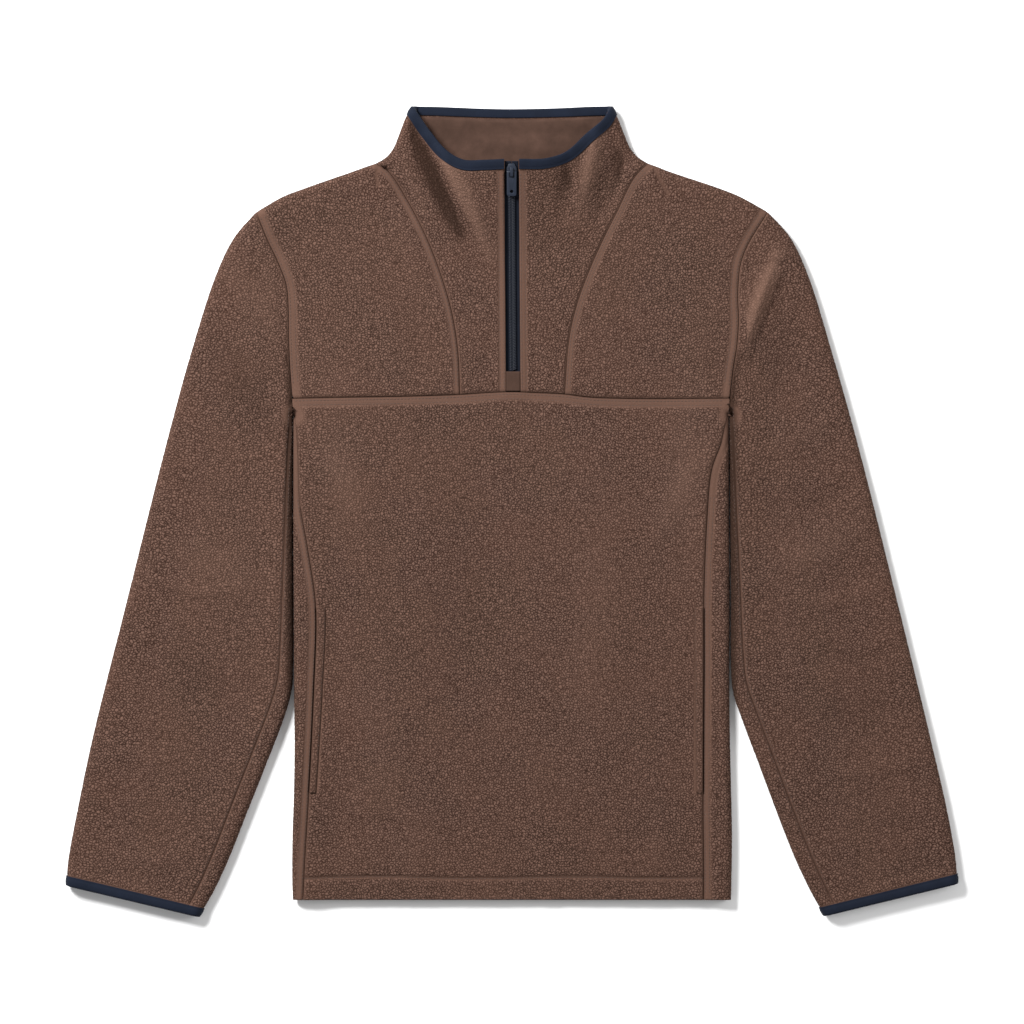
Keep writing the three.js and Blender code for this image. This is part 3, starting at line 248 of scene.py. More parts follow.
def smooth_path(rows, samples=72):
    """A centripetal curve through the rows, cut into steps of equal length."""
    knots = np.array(rows, float)
    knots = np.vstack([2 * knots[0] - knots[1], knots, 2 * knots[-1] - knots[-2]])

    def evaluate(t):
        spans = len(knots) - 3
        span = np.minimum((t * spans).astype(int), spans - 1)
        weight = (t * spans - span)[:, None]
        p0, p1, p2, p3 = (knots[span + k] for k in range(4))
        d0, d1, d2 = (
            np.sqrt(np.linalg.norm(b - a, axis=1))[:, None] for a, b in ((p0, p1), (p1, p2), (p2, p3))
        )
        t1 = ((p1 - p0) / d0 - (p2 - p0) / (d0 + d1) + (p2 - p1) / d1) * d1
        t2 = ((p2 - p1) / d1 - (p3 - p1) / (d1 + d2) + (p3 - p2) / d2) * d1
        cubic = 2 * p1 - 2 * p2 + t1 + t2
        square = -3 * p1 + 3 * p2 - 2 * t1 - t2
        return ((cubic * weight + square) * weight + t1) * weight + p1

    t = np.linspace(0, 1, 401)
    dense = Path(evaluate(t))
    even = np.interp(evenly(0, dense.length, samples), dense.lengths, t)
    return Path(evaluate(even))


CURVES = {name: smooth_path(rows) for name, rows in CURVE_ROWS.items()}


def join(*names):
    parts = [CURVES[name].points for name in names]
    return Path(np.vstack([parts[0]] + [part[1:] for part in parts[1:]]))


TURNS = {"left": 1, "right": -1}
OUTER_FOLDS = {side: join(f"collar_side_{side}", f"shoulder_{side}", f"sleeve_outer_{side}").turned(turn)
               for side, turn in TURNS.items()}
BODY_SIDE_FOLDS = {side: CURVES[f"body_side_{side}"].turned(turn) for side, turn in TURNS.items()}
BODY_FOLDS = [*OUTER_FOLDS.values(), *BODY_SIDE_FOLDS.values()]
SLEEVE_FOLDS = {side: [OUTER_FOLDS[side], CURVES[f"sleeve_inner_{side}"].turned(-turn)]
                for side, turn in TURNS.items()}
FAR_FROM_FOLDS = 60


def within(points, line, margin):
    """Where in the list those points stand that lie in the line's box with a margin."""
    low, high = line.min(0) - margin, line.max(0) + margin
    return np.flatnonzero(((points > low) & (points < high)).all(1))


def nearest_on(points, line):
    """The distance of each point from a line, the nearest point on it, and the line's direction there."""
    start = line[:-1]
    along = np.diff(line, axis=0)
    squared = (along**2).sum(1)
    best = np.full(len(points), 1e12)
    foot = np.zeros((len(points), 2))
    direction = np.zeros((len(points), 2))
    for first in range(0, len(points), 4000):
        chunk = points[first:first + 4000]
        offset = chunk[:, None, :] - start[None]
        share = np.clip((offset * along[None]).sum(-1) / squared, 0, 1)
        near = start[None] + along[None] * share[..., None]
        gap = ((chunk[:, None, :] - near) ** 2).sum(-1)
        pick = gap.argmin(1)
        rows = np.arange(len(chunk))
        best[first:first + 4000] = gap[rows, pick]
        foot[first:first + 4000] = near[rows, pick]
        direction[first:first + 4000] = along[pick]
    return np.sqrt(best), foot, direction


def nearest_fold(points, folds):
    distance = np.full(len(points), float(FAR_FROM_FOLDS))
    inward = np.tile([1.0, 0.0], (len(points), 1))
    for fold in folds:
        rough = nearest_on(points, fold.points[::8])[0]
        close = np.flatnonzero(rough < FAR_FROM_FOLDS)
        if len(close) == 0:
            continue
        gap, near, along = nearest_on(points[close], fold.points)
        square = unit(np.column_stack([-along[:, 1], along[:, 0]]) * fold.turn)
        away = (points[close] - near) / np.maximum(gap, 1e-6)[:, None]
        towards = np.where((gap > 0.02)[:, None], away, square)
        better = gap < distance[close]
        distance[close[better]] = gap[better]
        inward[close[better]] = towards[better]
    return distance, inward


def crease_height(points, creases):
    total = np.zeros(len(points))
    for x0, y0, x1, y1, x2, y2, height, width in creases:
        near = within(points, np.array([[x0, y0], [x1, y1], [x2, y2]]), 3 * width)
        if len(near) == 0:
            continue
        t = np.linspace(0, 1, 25)[:, None]
        line = (1 - t) ** 2 * [x0, y0] + 2 * t * (1 - t) * np.array([x1, y1]) + t**2 * [x2, y2]
        distance, foot, _ = nearest_on(points[near], line)
        step = ((foot[:, None, :] - line[None]) ** 2).sum(-1).argmin(1)
        place = np.interp(step, [0, 24], [0, 1])
        fade = np.sin(math.pi * np.clip(place, 0.08, 0.92)) ** 0.6
        total[near] += height * fade * np.exp(-((distance / width) ** 2))
    return total


def from_cuff_line(points, side):
    start = CURVES[f"sleeve_outer_{side}"].points[-1]
    end = CURVES[f"sleeve_inner_{side}"].points[-1]
    along = (end - start) / np.linalg.norm(end - start)
    offset = points - start
    return np.abs(offset[:, 0] * along[1] - offset[:, 1] * along[0])


EDGE_LIFT = 1.35
COLLAR_LIFT_FOOT_Y = 355
CUFF_LIFT_LENGTH = 10


def edge_lift(points):
    """Both layers rise a little at the bound edges, so that the bindings lie level below."""
    collar = smooth((points[:, 1] - COLLAR_LIFT_FOOT_Y) / 11)
    from_cuff = np.where(points[:, 0] < 0, *(from_cuff_line(points, side) for side in TURNS))
    near_sleeve = smooth((np.abs(points[:, 0]) - 215) / 20)
    cuff = (1 - smooth((from_cuff - BINDING_WIDTH) / CUFF_LIFT_LENGTH)) * near_sleeve
    return EDGE_LIFT * np.maximum(collar, cuff)


NECK_RISE = 27
NECK_RISE_FOOT_Y = 235
NECK_RISE_LENGTH = 98
ZIP_LIFT = 1.5


def relief(points, distance):
    """How far the upper layer lies above or below its level."""
    x, y = np.abs(points[:, 0]), points[:, 1]
    settle = BODY_SETTLE + (SLEEVE_SETTLE - BODY_SETTLE) * smooth((x - 200) / 80)
    settle += (CUFF_SETTLE - settle) * smooth((-y - 270) / 70) * smooth((x - 215) / 20)
    sunk = -settle * smooth((distance - FOLD_RADIUS) / SETTLE_DISTANCE)
    climb = np.maximum((y - NECK_RISE_FOOT_Y) / NECK_RISE_LENGTH, 0)
    ramp = np.where(climb < 0.4, climb * climb / 0.8, climb - 0.2)
    neck = NECK_RISE * ramp * smooth((100 - x) / 80)
    zip_lift = ZIP_LIFT * smooth((22 - x) / 16) * smooth((y - 90) / 20)
    small = crease_height(points, SMALL_FOLDS) * smooth((distance - 3) / 14)
    ripple = 0.55 * (wander(points / 38, 3) - 0.5) + 0.35 * (wander(points / 15, 4) - 0.5)
    folds = crease_height(points, MAIN_FOLDS) + small + ripple * smooth(distance / 12)
    return np.maximum(sunk + neck + zip_lift + folds, -settle - 0.4)


def scatter(cells, seed):
    """A fixed number between 0 and 1 for each whole-numbered cell."""
    mixed = cells[..., 0].astype(np.int64) * 374761393 + cells[..., 1].astype(np.int64) * 668265263
    mixed = (mixed + seed * 1442695041) & 0xFFFFFFFF
    mixed = ((mixed ^ (mixed >> 13)) * 1274126177) & 0xFFFFFFFF
    return ((mixed ^ (mixed >> 16)) & 0xFFFFFFFF) / 4294967296.0


def wander(points, seed):
    """Soft uneven values between 0 and 1 over the plan."""
    cell = np.floor(points)
    share = smooth(points - cell)
    corners = [scatter(cell + np.array(step), seed) for step in ((0, 0), (1, 0), (0, 1), (1, 1))]
    low = corners[0] + (corners[1] - corners[0]) * share[..., 0]
    high = corners[2] + (corners[3] - corners[2]) * share[..., 0]
    return low + (high - low) * share[..., 1]


CURL_SIZE = 3.0
CURL_SCATTER = 0.72


def nubs(points):
    """The height of the pile's curls, from 0 in the crevices to 1 on top."""
    drift = np.stack([wander(points / 5.5, 11), wander(points / 5.5, 12)], -1) - 0.5
    place = (points + drift * 3.4) / CURL_SIZE
    cell = np.floor(place)
    first = np.full(len(points), 9.0)
    second = np.full(len(points), 9.0)
    for dx in (-1, 0, 1):
        for dy in (-1, 0, 1):
            other = cell + np.array([dx, dy])
            centre = other + 0.5 + CURL_SCATTER * (np.stack([scatter(other, 1), scatter(other, 2)], -1) - 0.5)
            gap = np.linalg.norm(place - centre, axis=1)
            second = np.where(gap < first, first, np.minimum(second, gap))
            first = np.minimum(first, gap)
    dome = np.clip(1 - (first / 0.72) ** 2, 0, 1)
    rift = smooth((second - first) / 0.38)
    return dome * 0.55 + rift * 0.3 + 0.15 * wander(points / 1.6, 13)


def plan_of(x, rows_y):
    """Plan points from a table of x with a row for each height."""
    return np.stack([x, np.broadcast_to(rows_y[:, None], x.shape)], -1)


def cloth(points, folds, layer):
    """The outside of the cloth over plan points: places, normals and coordinates along the cloth."""
    shape = points.shape[:-1]
    flat = points.reshape(-1, 2)
    distance, inward = nearest_fold(flat, folds)
    depth = np.minimum(distance, FOLD_RADIUS)
    cosine = (FOLD_RADIUS - depth) / FOLD_RADIUS
    sine = np.sqrt(np.maximum(1 - cosine * cosine, 0))
    if layer > 0:
        lift = relief(flat, distance) * sine
    else:
        lift = crease_height(flat, BACK_FOLDS) * smooth((distance - 10) / 24)
    z = FOLD_RADIUS + layer * FOLD_RADIUS * sine + lift + edge_lift(flat)
    outer = np.column_stack([flat, z])
    normal = unit(np.column_stack([-inward * cosine[:, None], layer * sine]))
    arc = FOLD_RADIUS * np.arccos(cosine)
    stretch = (arc - depth) * (1 - smooth((distance - FOLD_RADIUS) / 30))
    along = flat + inward * stretch[:, None] + (np.array([0, 0]) if layer > 0 else np.array([1700.0, 300.0]))
    return outer.reshape(*shape, 3), normal.reshape(*shape, 3), along.reshape(*shape, 2)


FOLD_CUTS = 7


def fold_steps():
    return FOLD_RADIUS * (1 - np.cos(evenly(0, math.pi / 2, FOLD_CUTS)))


def stations(length, spacing, at_start=True, at_end=False, steps=None):
    """Distances along an edge, closer together where it crosses a fold."""
    begin = fold_steps() if at_start else np.array([0.0])
    finish = length - fold_steps()[::-1] if at_end else np.array([length])
    inner_length = finish[0] - begin[-1]
    count = steps if steps else max(int(round(inner_length / spacing)), 1)
    return np.concatenate([begin, evenly(begin[-1], finish[0], count)[1:-1], finish])


def shares(points):
    path = Path(points)
    return path.lengths / path.length


def patch(top, bottom, left, right):
    """Plan points between four boundaries that share their corners."""
    top_share, bottom_share = shares(top)[None], shares(bottom)[None]
    left_share, right_share = shares(left)[:, None], shares(right)[:, None]
    down = left_share * (1 - top_share) + right_share * top_share
    across = top_share * (1 - down) + bottom_share * down
    down, across = down[..., None], across[..., None]
    point = top[None] * (1 - down) + bottom[None] * down
    point = point + left[:, None] * (1 - across) + right[:, None] * across
    point -= top[0] * (1 - across) * (1 - down) + top[-1] * across * (1 - down)
    return point - bottom[0] * (1 - across) * down - bottom[-1] * across * down


def inset(plan, sides):
    """Draws the named sides of a plan in by half the seam's gap."""
    plan = plan.copy()
    for side in sides:
        edge, behind = {
            "left": (np.s_[:, 0], np.s_[:, 4]),
            "right": (np.s_[:, -1], np.s_[:, -5]),
            "top": (np.s_[0], np.s_[4]),
            "bottom": (np.s_[-1], np.s_[-5]),
        }[side]
        line = plan[edge]
        along = unit(np.gradient(line, axis=0))
        step = plan[behind] - line
        square = step - (step * along).sum(1)[:, None] * along
        plan[edge] = line + unit(square) * SEAM_INSET
    return plan


class Seam:
    """A seam line on a panel: how deep it dips, how wide its smooth stitched band is, and its groove."""

    def __init__(self, line, band=0.0, dip=0.9, reach=2.6):
        self.line = np.asarray(line, float)
        self.band = band
        self.dip = dip
        self.reach = reach


def seam_on(curve, **shape):
    return Seam(CURVES[curve].points, **shape)


# The seams that carry topstitching, and what the placket's and the underarm's are like.
YOKE_SEAM = seam_on("yoke_seam", band=8.2, dip=1.0)
HEM_SEAM = seam_on("hem_stitch", dip=1.1, reach=3.0)
ARMHOLE_SEAMS = {side: seam_on(f"armhole_{side}", band=8, dip=0.5) for side in TURNS}
PRINCESS_SEAMS = {side: seam_on(f"princess_{side}", band=6.2) for side in TURNS}
SIDE_SEAMS = {side: seam_on(f"side_seam_{side}", band=7.2, dip=1.0) for side in TURNS}
PLACKET = {"band": 6.6, "dip": 0.2, "reach": 1.2}
UNDERARM = {"dip": 1.0, "reach": 2.2}


def both(curve):
    """The left and the right curve of one name."""
    return [CURVES[f"{curve}_{side}"] for side in TURNS]


BAND_DEPTH = 0.3
GROOVE_DEPTH = 0.3


def along_seams(points, seams):
    """How far the seams press the cloth in, and how much of the pile they leave."""
    press = np.zeros(len(points))
    pile = np.ones(len(points))
    for seam in seams:
        near = within(points, seam.line, seam.band + 6)
        if len(near) == 0:
            continue
        gap = nearest_on(points[near], seam.line)[0]
        change = -seam.dip * (1 - smooth(gap / seam.reach))
        keep = smooth((gap - 0.5) / 1.7)
        if seam.band:
            flat = 1 - smooth((gap - seam.band + 0.7) / 1.4)
            groove = np.exp(-(((gap - seam.band + 1.4) / 0.75) ** 2))
            change += -BAND_DEPTH * flat - GROOVE_DEPTH * groove
            keep = np.minimum(keep, 1 - flat)
        press[near] += change
        pile[near] = np.minimum(pile[near], keep)
    return press, pile


def select_only(piece):
    bpy.ops.object.select_all(action="DESELECT")
    piece.select_set(True)
    bpy.context.view_layer.objects.active = piece


@contextmanager
def all_points_open():
    """Edit mode on the active piece, with every point selected."""
    bpy.ops.object.mode_set(mode="EDIT")
    bpy.ops.mesh.select_all(action="SELECT")
    yield
    bpy.ops.object.mode_set(mode="OBJECT")


def grid_piece(name, places, normals, coordinates):
    """A grid whose points are moved onto the cloth, facing out, with coordinates along the cloth."""
    rows, columns = places.shape[:2]
    bpy.ops.object.select_all(action="DESELECT")
    bpy.ops.mesh.primitive_grid_add(x_subdivisions=columns - 1, y_subdivisions=rows - 1, size=1)
    piece = bpy.context.active_object
    piece.name = name
    mesh = piece.data
    mesh.name = name
    mesh.vertices.foreach_set("co", (places.reshape(-1, 3) * MM).astype(np.float32).ravel())
    mesh.update()
    layer = mesh.uv_layers.active
    layer.name = "cloth"
    corner = np.empty(len(mesh.loops), np.int32)
    mesh.loops.foreach_get("vertex_index", corner)
    layer.data.foreach_set("uv", (coordinates.reshape(-1, 2)[corner] * MM).astype(np.float32).ravel())
    facing = np.cross(np.diff(places, axis=1)[:-1], np.diff(places, axis=0)[:, :-1])
    if (facing * normals[:-1, :-1]).sum() < 0:
        select_only(piece)
        with all_points_open():
            bpy.ops.mesh.flip_normals()
    return piece


def new_object(name, data):
    made = bpy.data.objects.new(name, data)
    bpy.context.scene.collection.objects.link(made)
    return made


def lie_along_x(piece):
    """Turns an upright template on its side."""
    with all_points_open():
        bpy.ops.transform.rotate(value=math.pi / 2, orient_axis="Y", center_override=(0, 0, 0))
    return piece


def apply_modifier(piece, kind, **settings):
    select_only(piece)
    modifier = piece.modifiers.new("shaping", kind)
    for name, value in settings.items():
        setattr(modifier, name, value)
    bpy.ops.object.modifier_apply(modifier=modifier.name)


def give_wall(piece, thickness, rim_only=False):
    apply_modifier(piece, "SOLIDIFY", thickness=thickness * MM, offset=-1, use_rim=True,
                   use_rim_only=rim_only)


def set_values(mesh, name, outside, rest):
    """Stores a value for each point: the outside's own, and one for the wall's other points."""
    values = np.full(len(mesh.vertices), rest, np.float32)
    values[:len(outside)] = outside
    attribute = mesh.attributes.new(name, "FLOAT", "POINT")
    attribute.data.foreach_set("value", values)


def finish_piece(piece, material, body="garment", replaced=()):
    piece.data.materials.clear()
    piece.data.materials.append(material)
    select_only(piece)
    bpy.ops.object.shade_smooth()
    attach(piece, body)
    if replaced:
        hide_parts(*replaced)


# The depth of a crease at which its painted shade is darkest, and the height of a ridge at which its painted
# highlight is lightest.
FULL_PAINTED_SHADE_DEPTH = 5.6


def shade_of(plan, facing, is_sleeve):
    """Painted shade where the cloth dips, along the pocket openings, and on a sleeve beside the body and
    below its armhole; painted highlight, as negative values, where the cloth rises.
    """
    depth = -crease_height(plan, MAIN_FOLDS + SMALL_FOLDS) * np.clip(facing[:, 2], 0, 1)
    painted_shade_and_highlight = np.clip(depth / FULL_PAINTED_SHADE_DEPTH, -1, 0.9)
    # Painted shade: a dark line along each side seam over the pocket opening.
    along = smooth((POCKET_TOP_Y - plan[:, 1]) / 2) * smooth((plan[:, 1] - POCKET_END_Y) / 2)
    for seam in both("side_seam"):
        pocket_painted_shade = 0.95 * along * (1 - smooth((nearest_on(plan, seam.points)[0] - 0.5) / 1.4))
        painted_shade_and_highlight = np.where(pocket_painted_shade > 0.01, np.maximum(painted_shade_and_highlight, pocket_painted_shade), painted_shade_and_highlight)
    # Painted shade on a sleeve beside the body's side fold and below its armhole seam.
    if is_sleeve:
        beside = np.minimum(*(nearest_on(plan, fold.points)[0] for fold in BODY_SIDE_FOLDS.values()))
        above = np.minimum(*(nearest_on(plan, armhole.points)[0] for armhole in both("armhole")))
        dark = 0.9 * np.maximum(1 - smooth((beside - 2) / 11),
                                (1 - smooth((above - 1) / 9)) * smooth((190 - plan[:, 1]) / 90))
        painted_shade_and_highlight = np.where(dark > 0.01, np.maximum(painted_shade_and_highlight, dark), painted_shade_and_highlight)
    return painted_shade_and_highlight


NECK_POINT_REACH = 8


def hold_in_at_neck(points):
    """Brings back to the outer fold what the wall pushes past it near the neck points."""
    plan = points[:, :2] / MM
    for side, fold in OUTER_FOLDS.items():
        corner = CURVES[f"shoulder_{side}"].points[0]
        near = np.flatnonzero(np.linalg.norm(plan - corner, axis=1) < NECK_POINT_REACH)
        if len(near) == 0:
            continue
        _, foot, along = nearest_on(plan[near], fold.points)
        square = np.column_stack([-along[:, 1], along[:, 0]]) * fold.turn
        outside = ((plan[near] - foot) * square).sum(1) < 0
        points[near[outside], :2] = foot[outside] * MM


def under_binding(distance):
    """How far the binding hides the pile at a distance from the bound edge."""
    return 1 - smooth((distance - BINDING_WIDTH - 0.4) / 0.9)


UNDERARM_REACH = 7


def fleece_panel(name, plan, places, normals, coordinates, seams, closed, covered=None):
    """A panel of pile fleece over its plan, pressed in along its seams."""
    piece = grid_piece(name, places, normals, coordinates)
    give_wall(piece, WALL, rim_only=not closed)
    mesh = piece.data
    flat_plan = plan.reshape(-1, 2)
    facing = normals.reshape(-1, 3)
    along = coordinates.reshape(-1, 2)
    height = nubs(along)
    press, pile = along_seams(flat_plan, seams)
    # Where several seams run together under the arm the cloth is plain.
    from_underarm = np.hypot(np.abs(flat_plan[:, 0]) - UNDERARM_X, flat_plan[:, 1] - UNDERARM_Y)
    hidden = 1 - smooth((from_underarm - UNDERARM_REACH) / UNDERARM_REACH)
    if covered is not None:
        hidden = np.maximum(hidden, covered(flat_plan))
    press *= 1 - hidden
    pile *= 1 - hidden
    # The pile stands less where the cloth turns down, and is pressed flat where it lies on its underside.
    free = np.clip(facing[:, 2] + 1, 0, 1)
    level = np.abs(facing[:, 2])
    raised = pile * ((0.95 * height - 0.25) * free + 0.4 * (height - 1) * (1 - free))
    offset = press * free * level + raised * (0.45 + 0.55 * level)
    points = np.empty(len(mesh.vertices) * 3, np.float32)
    mesh.vertices.foreach_get("co", points)
    points = points.reshape(-1, 3)
    points[:len(facing)] += (facing * offset[:, None] * MM).astype(np.float32)
    points[:, 2] = np.maximum(points[:, 2], 0)
    hold_in_at_neck(points)
    mesh.vertices.foreach_set("co", points.ravel())
    mesh.update()
    set_values(mesh, "pile", pile, 0.5)
    set_values(mesh, "nub", height, 0.35)
    # The press value darkens the seams' grooves and the walls' other points as painted shade; the next value
    # is painted shade and painted highlight.
    set_values(mesh, "press", np.clip(-press / 1.2, 0, 1), 0.6)
    set_values(mesh, "painted_shade_and_highlight", shade_of(flat_plan, facing, name.startswith("sleeve")), 0)
    finish_piece(piece, FLEECE, replaced=(name.replace("_fleece", ""),))


def tone(red, green, blue):
    """A screen colour from 0 to 255 a channel, as light."""
    channels = (value / 255 for value in (red, green, blue))
    return (*(c / 12.92 if c <= 0.04045 else ((c + 0.055) / 1.055) ** 2.4 for c in channels), 1)


class Shading:
    """A node tree with short ways to add nodes and join them."""

    def __init__(self, tree):
        self.tree = tree

    def put(self, value, socket):
        """Gives a socket a plain value, or joins another node's output to it."""
        if isinstance(value, (int, float, tuple)):
            socket.default_value = value
        else:
            self.tree.links.new(value, socket)

    def add(self, kind, inputs=None, **settings):
        node = self.tree.nodes.new(kind)
        for name, value in settings.items():
            setattr(node, name, value)
        for name, value in (inputs or {}).items():
            self.put(value, node.inputs[name])
        return node

    def math(self, operation, first, second):
        return self.add("ShaderNodeMath", {0: first, 1: second}, operation=operation).outputs[0]

    def blend(self, share, low, high):
        return self.add("ShaderNodeMix", {0: share, 6: low, 7: high}, data_type="RGBA").outputs[2]

    def span(self, value, low, high, to_low=0.0, to_high=1.0):
        return self.add("ShaderNodeMapRange", {
            "Value": value, "From Min": low, "From Max": high, "To Min": to_low, "To Max": to_high,
        }, interpolation_type="SMOOTHSTEP").outputs[0]

    def noise(self, vector, scale, detail=3.0, roughness=0.55, distortion=0.0):
        return self.add("ShaderNodeTexNoise", {
            "Vector": vector, "Scale": scale, "Detail": detail, "Roughness": roughness,
            "Distortion": distortion,
        }).outputs[0]

    def group(self, tree, **values):
        inputs = {name.replace("_", " "): value for name, value in values.items()}
        return self.add("ShaderNodeGroup", inputs, node_tree=tree).outputs

    def bump(self, shader, height, strength, distance):
        node = self.add("ShaderNodeBump", {"Height": height, "Strength": strength, "Distance": distance})
        self.put(node.outputs[0], shader.inputs["Normal"])

    def attribute(self, name):
        return self.add("ShaderNodeAttribute", attribute_name=name).outputs["Fac"]

    def along_cloth(self):
        return self.add("ShaderNodeUVMap", uv_map="cloth").outputs[0]


def effect_group(name, inputs, outputs):
    tree = bpy.data.node_groups.new(name, "ShaderNodeTree")
    for title, kind, value in inputs:
        socket = tree.interface.new_socket(title, in_out="INPUT", socket_type=kind)
        if value is not None:
            socket.default_value = value
    for title, kind in outputs:
        tree.interface.new_socket(title, in_out="OUTPUT", socket_type=kind)
    shading = Shading(tree)
    return tree, shading, shading.add("NodeGroupInput").outputs, shading.add("NodeGroupOutput").inputs


# How many lie along a metre of cloth, and in metres how far the curls bend aside.
CURLS = 410.0
CURL_BENDS = 300.0
FIBRES = 900
TONE_PATCHES = 16
CURL_BEND = 0.0044


def curled_pile_group():
    """Small curls of pile: a height, and a mask of the dark crevices between them."""
    tree, s, given, gives = effect_group(
        "curled_pile",
        [("Vector", "NodeSocketVector", None), ("Nub", "NodeSocketFloat", 0.5)],
        [("Height", "NodeSocketFloat"), ("Gap", "NodeSocketFloat"), ("Patch", "NodeSocketFloat")],
    )
    bend = s.add("ShaderNodeTexNoise", {"Vector": given["Vector"], "Scale": CURL_BENDS}).outputs["Color"]
    moved = s.add("ShaderNodeVectorMath", {0: bend, 1: (CURL_BEND, CURL_BEND, 0), 2: given["Vector"]},
                  operation="MULTIPLY_ADD")
    cells = s.add("ShaderNodeTexVoronoi", {"Vector": moved.outputs[0], "Scale": CURLS},
                  voronoi_dimensions="2D", feature="DISTANCE_TO_EDGE")
    curl = s.span(cells.outputs["Distance"], 0.0, 0.42)
    fibre = s.noise(given["Vector"], FIBRES, 2.0, 0.6, 0.3)
    height = s.math("ADD", s.math("MULTIPLY", given["Nub"], 0.22), s.math("MULTIPLY", curl, 0.5))
    height = s.math("ADD", height, s.math("MULTIPLY", fibre, 0.28))
    s.put(height, gives["Height"])
    s.put(s.span(height, 0.22, 0.74, 1.0, 0.0), gives["Gap"])
    s.put(s.noise(given["Vector"], TONE_PATCHES, 2.0, 0.5), gives["Patch"])
    return tree


def knitted_face_group():
    """Fine ribs across a tape or a smooth knit face: a height, and a soft uneven tone."""
    tree, s, given, gives = effect_group(
        "knitted_face",
        [("Vector", "NodeSocketVector", None), ("Rib Scale", "NodeSocketFloat", 160.0),
         ("Cross Scale", "NodeSocketFloat", 160.0)],
        [("Height", "NodeSocketFloat"), ("Tone", "NodeSocketFloat")],
    )
    heights = []
    for direction, scale in (("X", "Rib Scale"), ("Y", "Cross Scale")):
        inputs = {"Vector": given["Vector"], "Scale": given[scale], "Distortion": 0.4}
        wave = s.add("ShaderNodeTexWave", inputs, wave_type="BANDS", bands_direction=direction)
        heights.append(wave.outputs["Fac"])
    woven = s.math("MULTIPLY", heights[0], heights[1])
    fuzz = s.noise(given["Vector"], FIBRES, 2.0, 0.6)
    s.put(s.math("ADD", s.math("MULTIPLY", woven, 0.7), s.math("MULTIPLY", fuzz, 0.3)), gives["Height"])
    s.put(s.noise(given["Vector"], 45, 3.0, 0.6), gives["Tone"])
    return tree


def new_material(name, roughness, **constants):
    material = bpy.data.materials.new(name)
    material.use_nodes = True
    shader = material.node_tree.nodes["Principled BSDF"]
    shader.inputs["Roughness"].default_value = roughness
    for title, value in constants.items():
        shader.inputs[title.replace("_", " ")].default_value = value
    return material, Shading(material.node_tree), shader


def fleece_material(pile_group):
    material, s, shader = new_material("sherpa_fleece", 0.95, Specular_IOR_Level=0.05)
    cloth_map = s.along_cloth()
    curls = s.group(pile_group, Vector=cloth_map, Nub=s.attribute("nub"))
    pile = s.attribute("pile")
    fur = s.blend(curls["Gap"], tone(*FLEECE_TIP), tone(*FLEECE_GAP))
    fur = s.blend(s.span(curls["Patch"], 0.3, 0.7, 0.0, 0.14), fur, tone(*FLEECE_WARM))
    plain = s.blend(s.span(curls["Height"], 0.2, 0.7, 0.0, 0.35), tone(*FLEECE_BAND), tone(*FLEECE_TIP))
    colour = s.blend(pile, plain, fur)
    # Painted shade: the seams' grooves, the welts' pressed edges and the walls' other points are darkened
    # toward the crevice colour.
    colour = s.blend(s.math("MULTIPLY", s.attribute("press"), 0.32), colour, tone(*FLEECE_GAP))
    # Painted shade in the creases, along the pocket openings and on the sleeves beside the body, and painted
    # highlight on the ridges.
    painted_shade_and_highlight = s.attribute("painted_shade_and_highlight")
    colour = s.blend(s.span(painted_shade_and_highlight, 0.0, 1.0, 0.0, 0.8), colour, tone(*FLEECE_PAINTED_SHADE))
    colour = s.blend(s.span(painted_shade_and_highlight, 0.0, -1.0, 0.0, 0.5), colour, tone(*FLEECE_PAINTED_HIGHLIGHT))
    s.put(colour, shader.inputs["Base Color"])
    strength = s.math("MULTIPLY", curls["Height"], s.math("ADD", s.math("MULTIPLY", pile, 0.8), 0.2))
    s.bump(shader, strength, 0.7, 0.0011)
    return material


def knit_material(name, knit_group, dark, light, roughness, ribs, depth, **constants):
    material, s, shader = new_material(name, roughness, **constants)
    cloth_map = s.along_cloth()
    face = s.group(knit_group, Vector=cloth_map, Rib_Scale=ribs[0], Cross_Scale=ribs[1])
    share = s.math("ADD", s.math("MULTIPLY", face["Tone"], 0.6), s.math("MULTIPLY", face["Height"], 0.4))
    s.put(s.blend(s.span(share, 0.25, 0.75), tone(*dark), tone(*light)), shader.inputs["Base Color"])
    s.bump(shader, face["Height"], 0.7, depth)
    return material


def solid_material(name, knit_group, colour, roughness, depth=0.00005, **constants):
    """A plain finish with a faint unevenness, for thread, coil and metal."""
    material, s, shader = new_material(name, roughness, **constants)
    places = s.add("ShaderNodeTexCoord").outputs["Object"]
    face = s.group(knit_group, Vector=places, Rib_Scale=90, Cross_Scale=130)
    darker = tuple(value * 0.8 for value in colour)
    s.put(s.blend(face["Tone"], tone(*darker), tone(*colour)), shader.inputs["Base Color"])
    s.bump(shader, face["Height"], 0.4, depth)
    return material


FLEECE_TIP = (97, 74, 64)
FLEECE_GAP = (45, 31, 25)
FLEECE_WARM = (90, 63, 51)
FLEECE_BAND = (84, 62, 52)
# The next two are painted highlight for the ridges and painted shade for the creases, not colours of the
# fleece.
FLEECE_PAINTED_HIGHLIGHT = (106, 81, 69)
FLEECE_PAINTED_SHADE = (36, 24, 18)

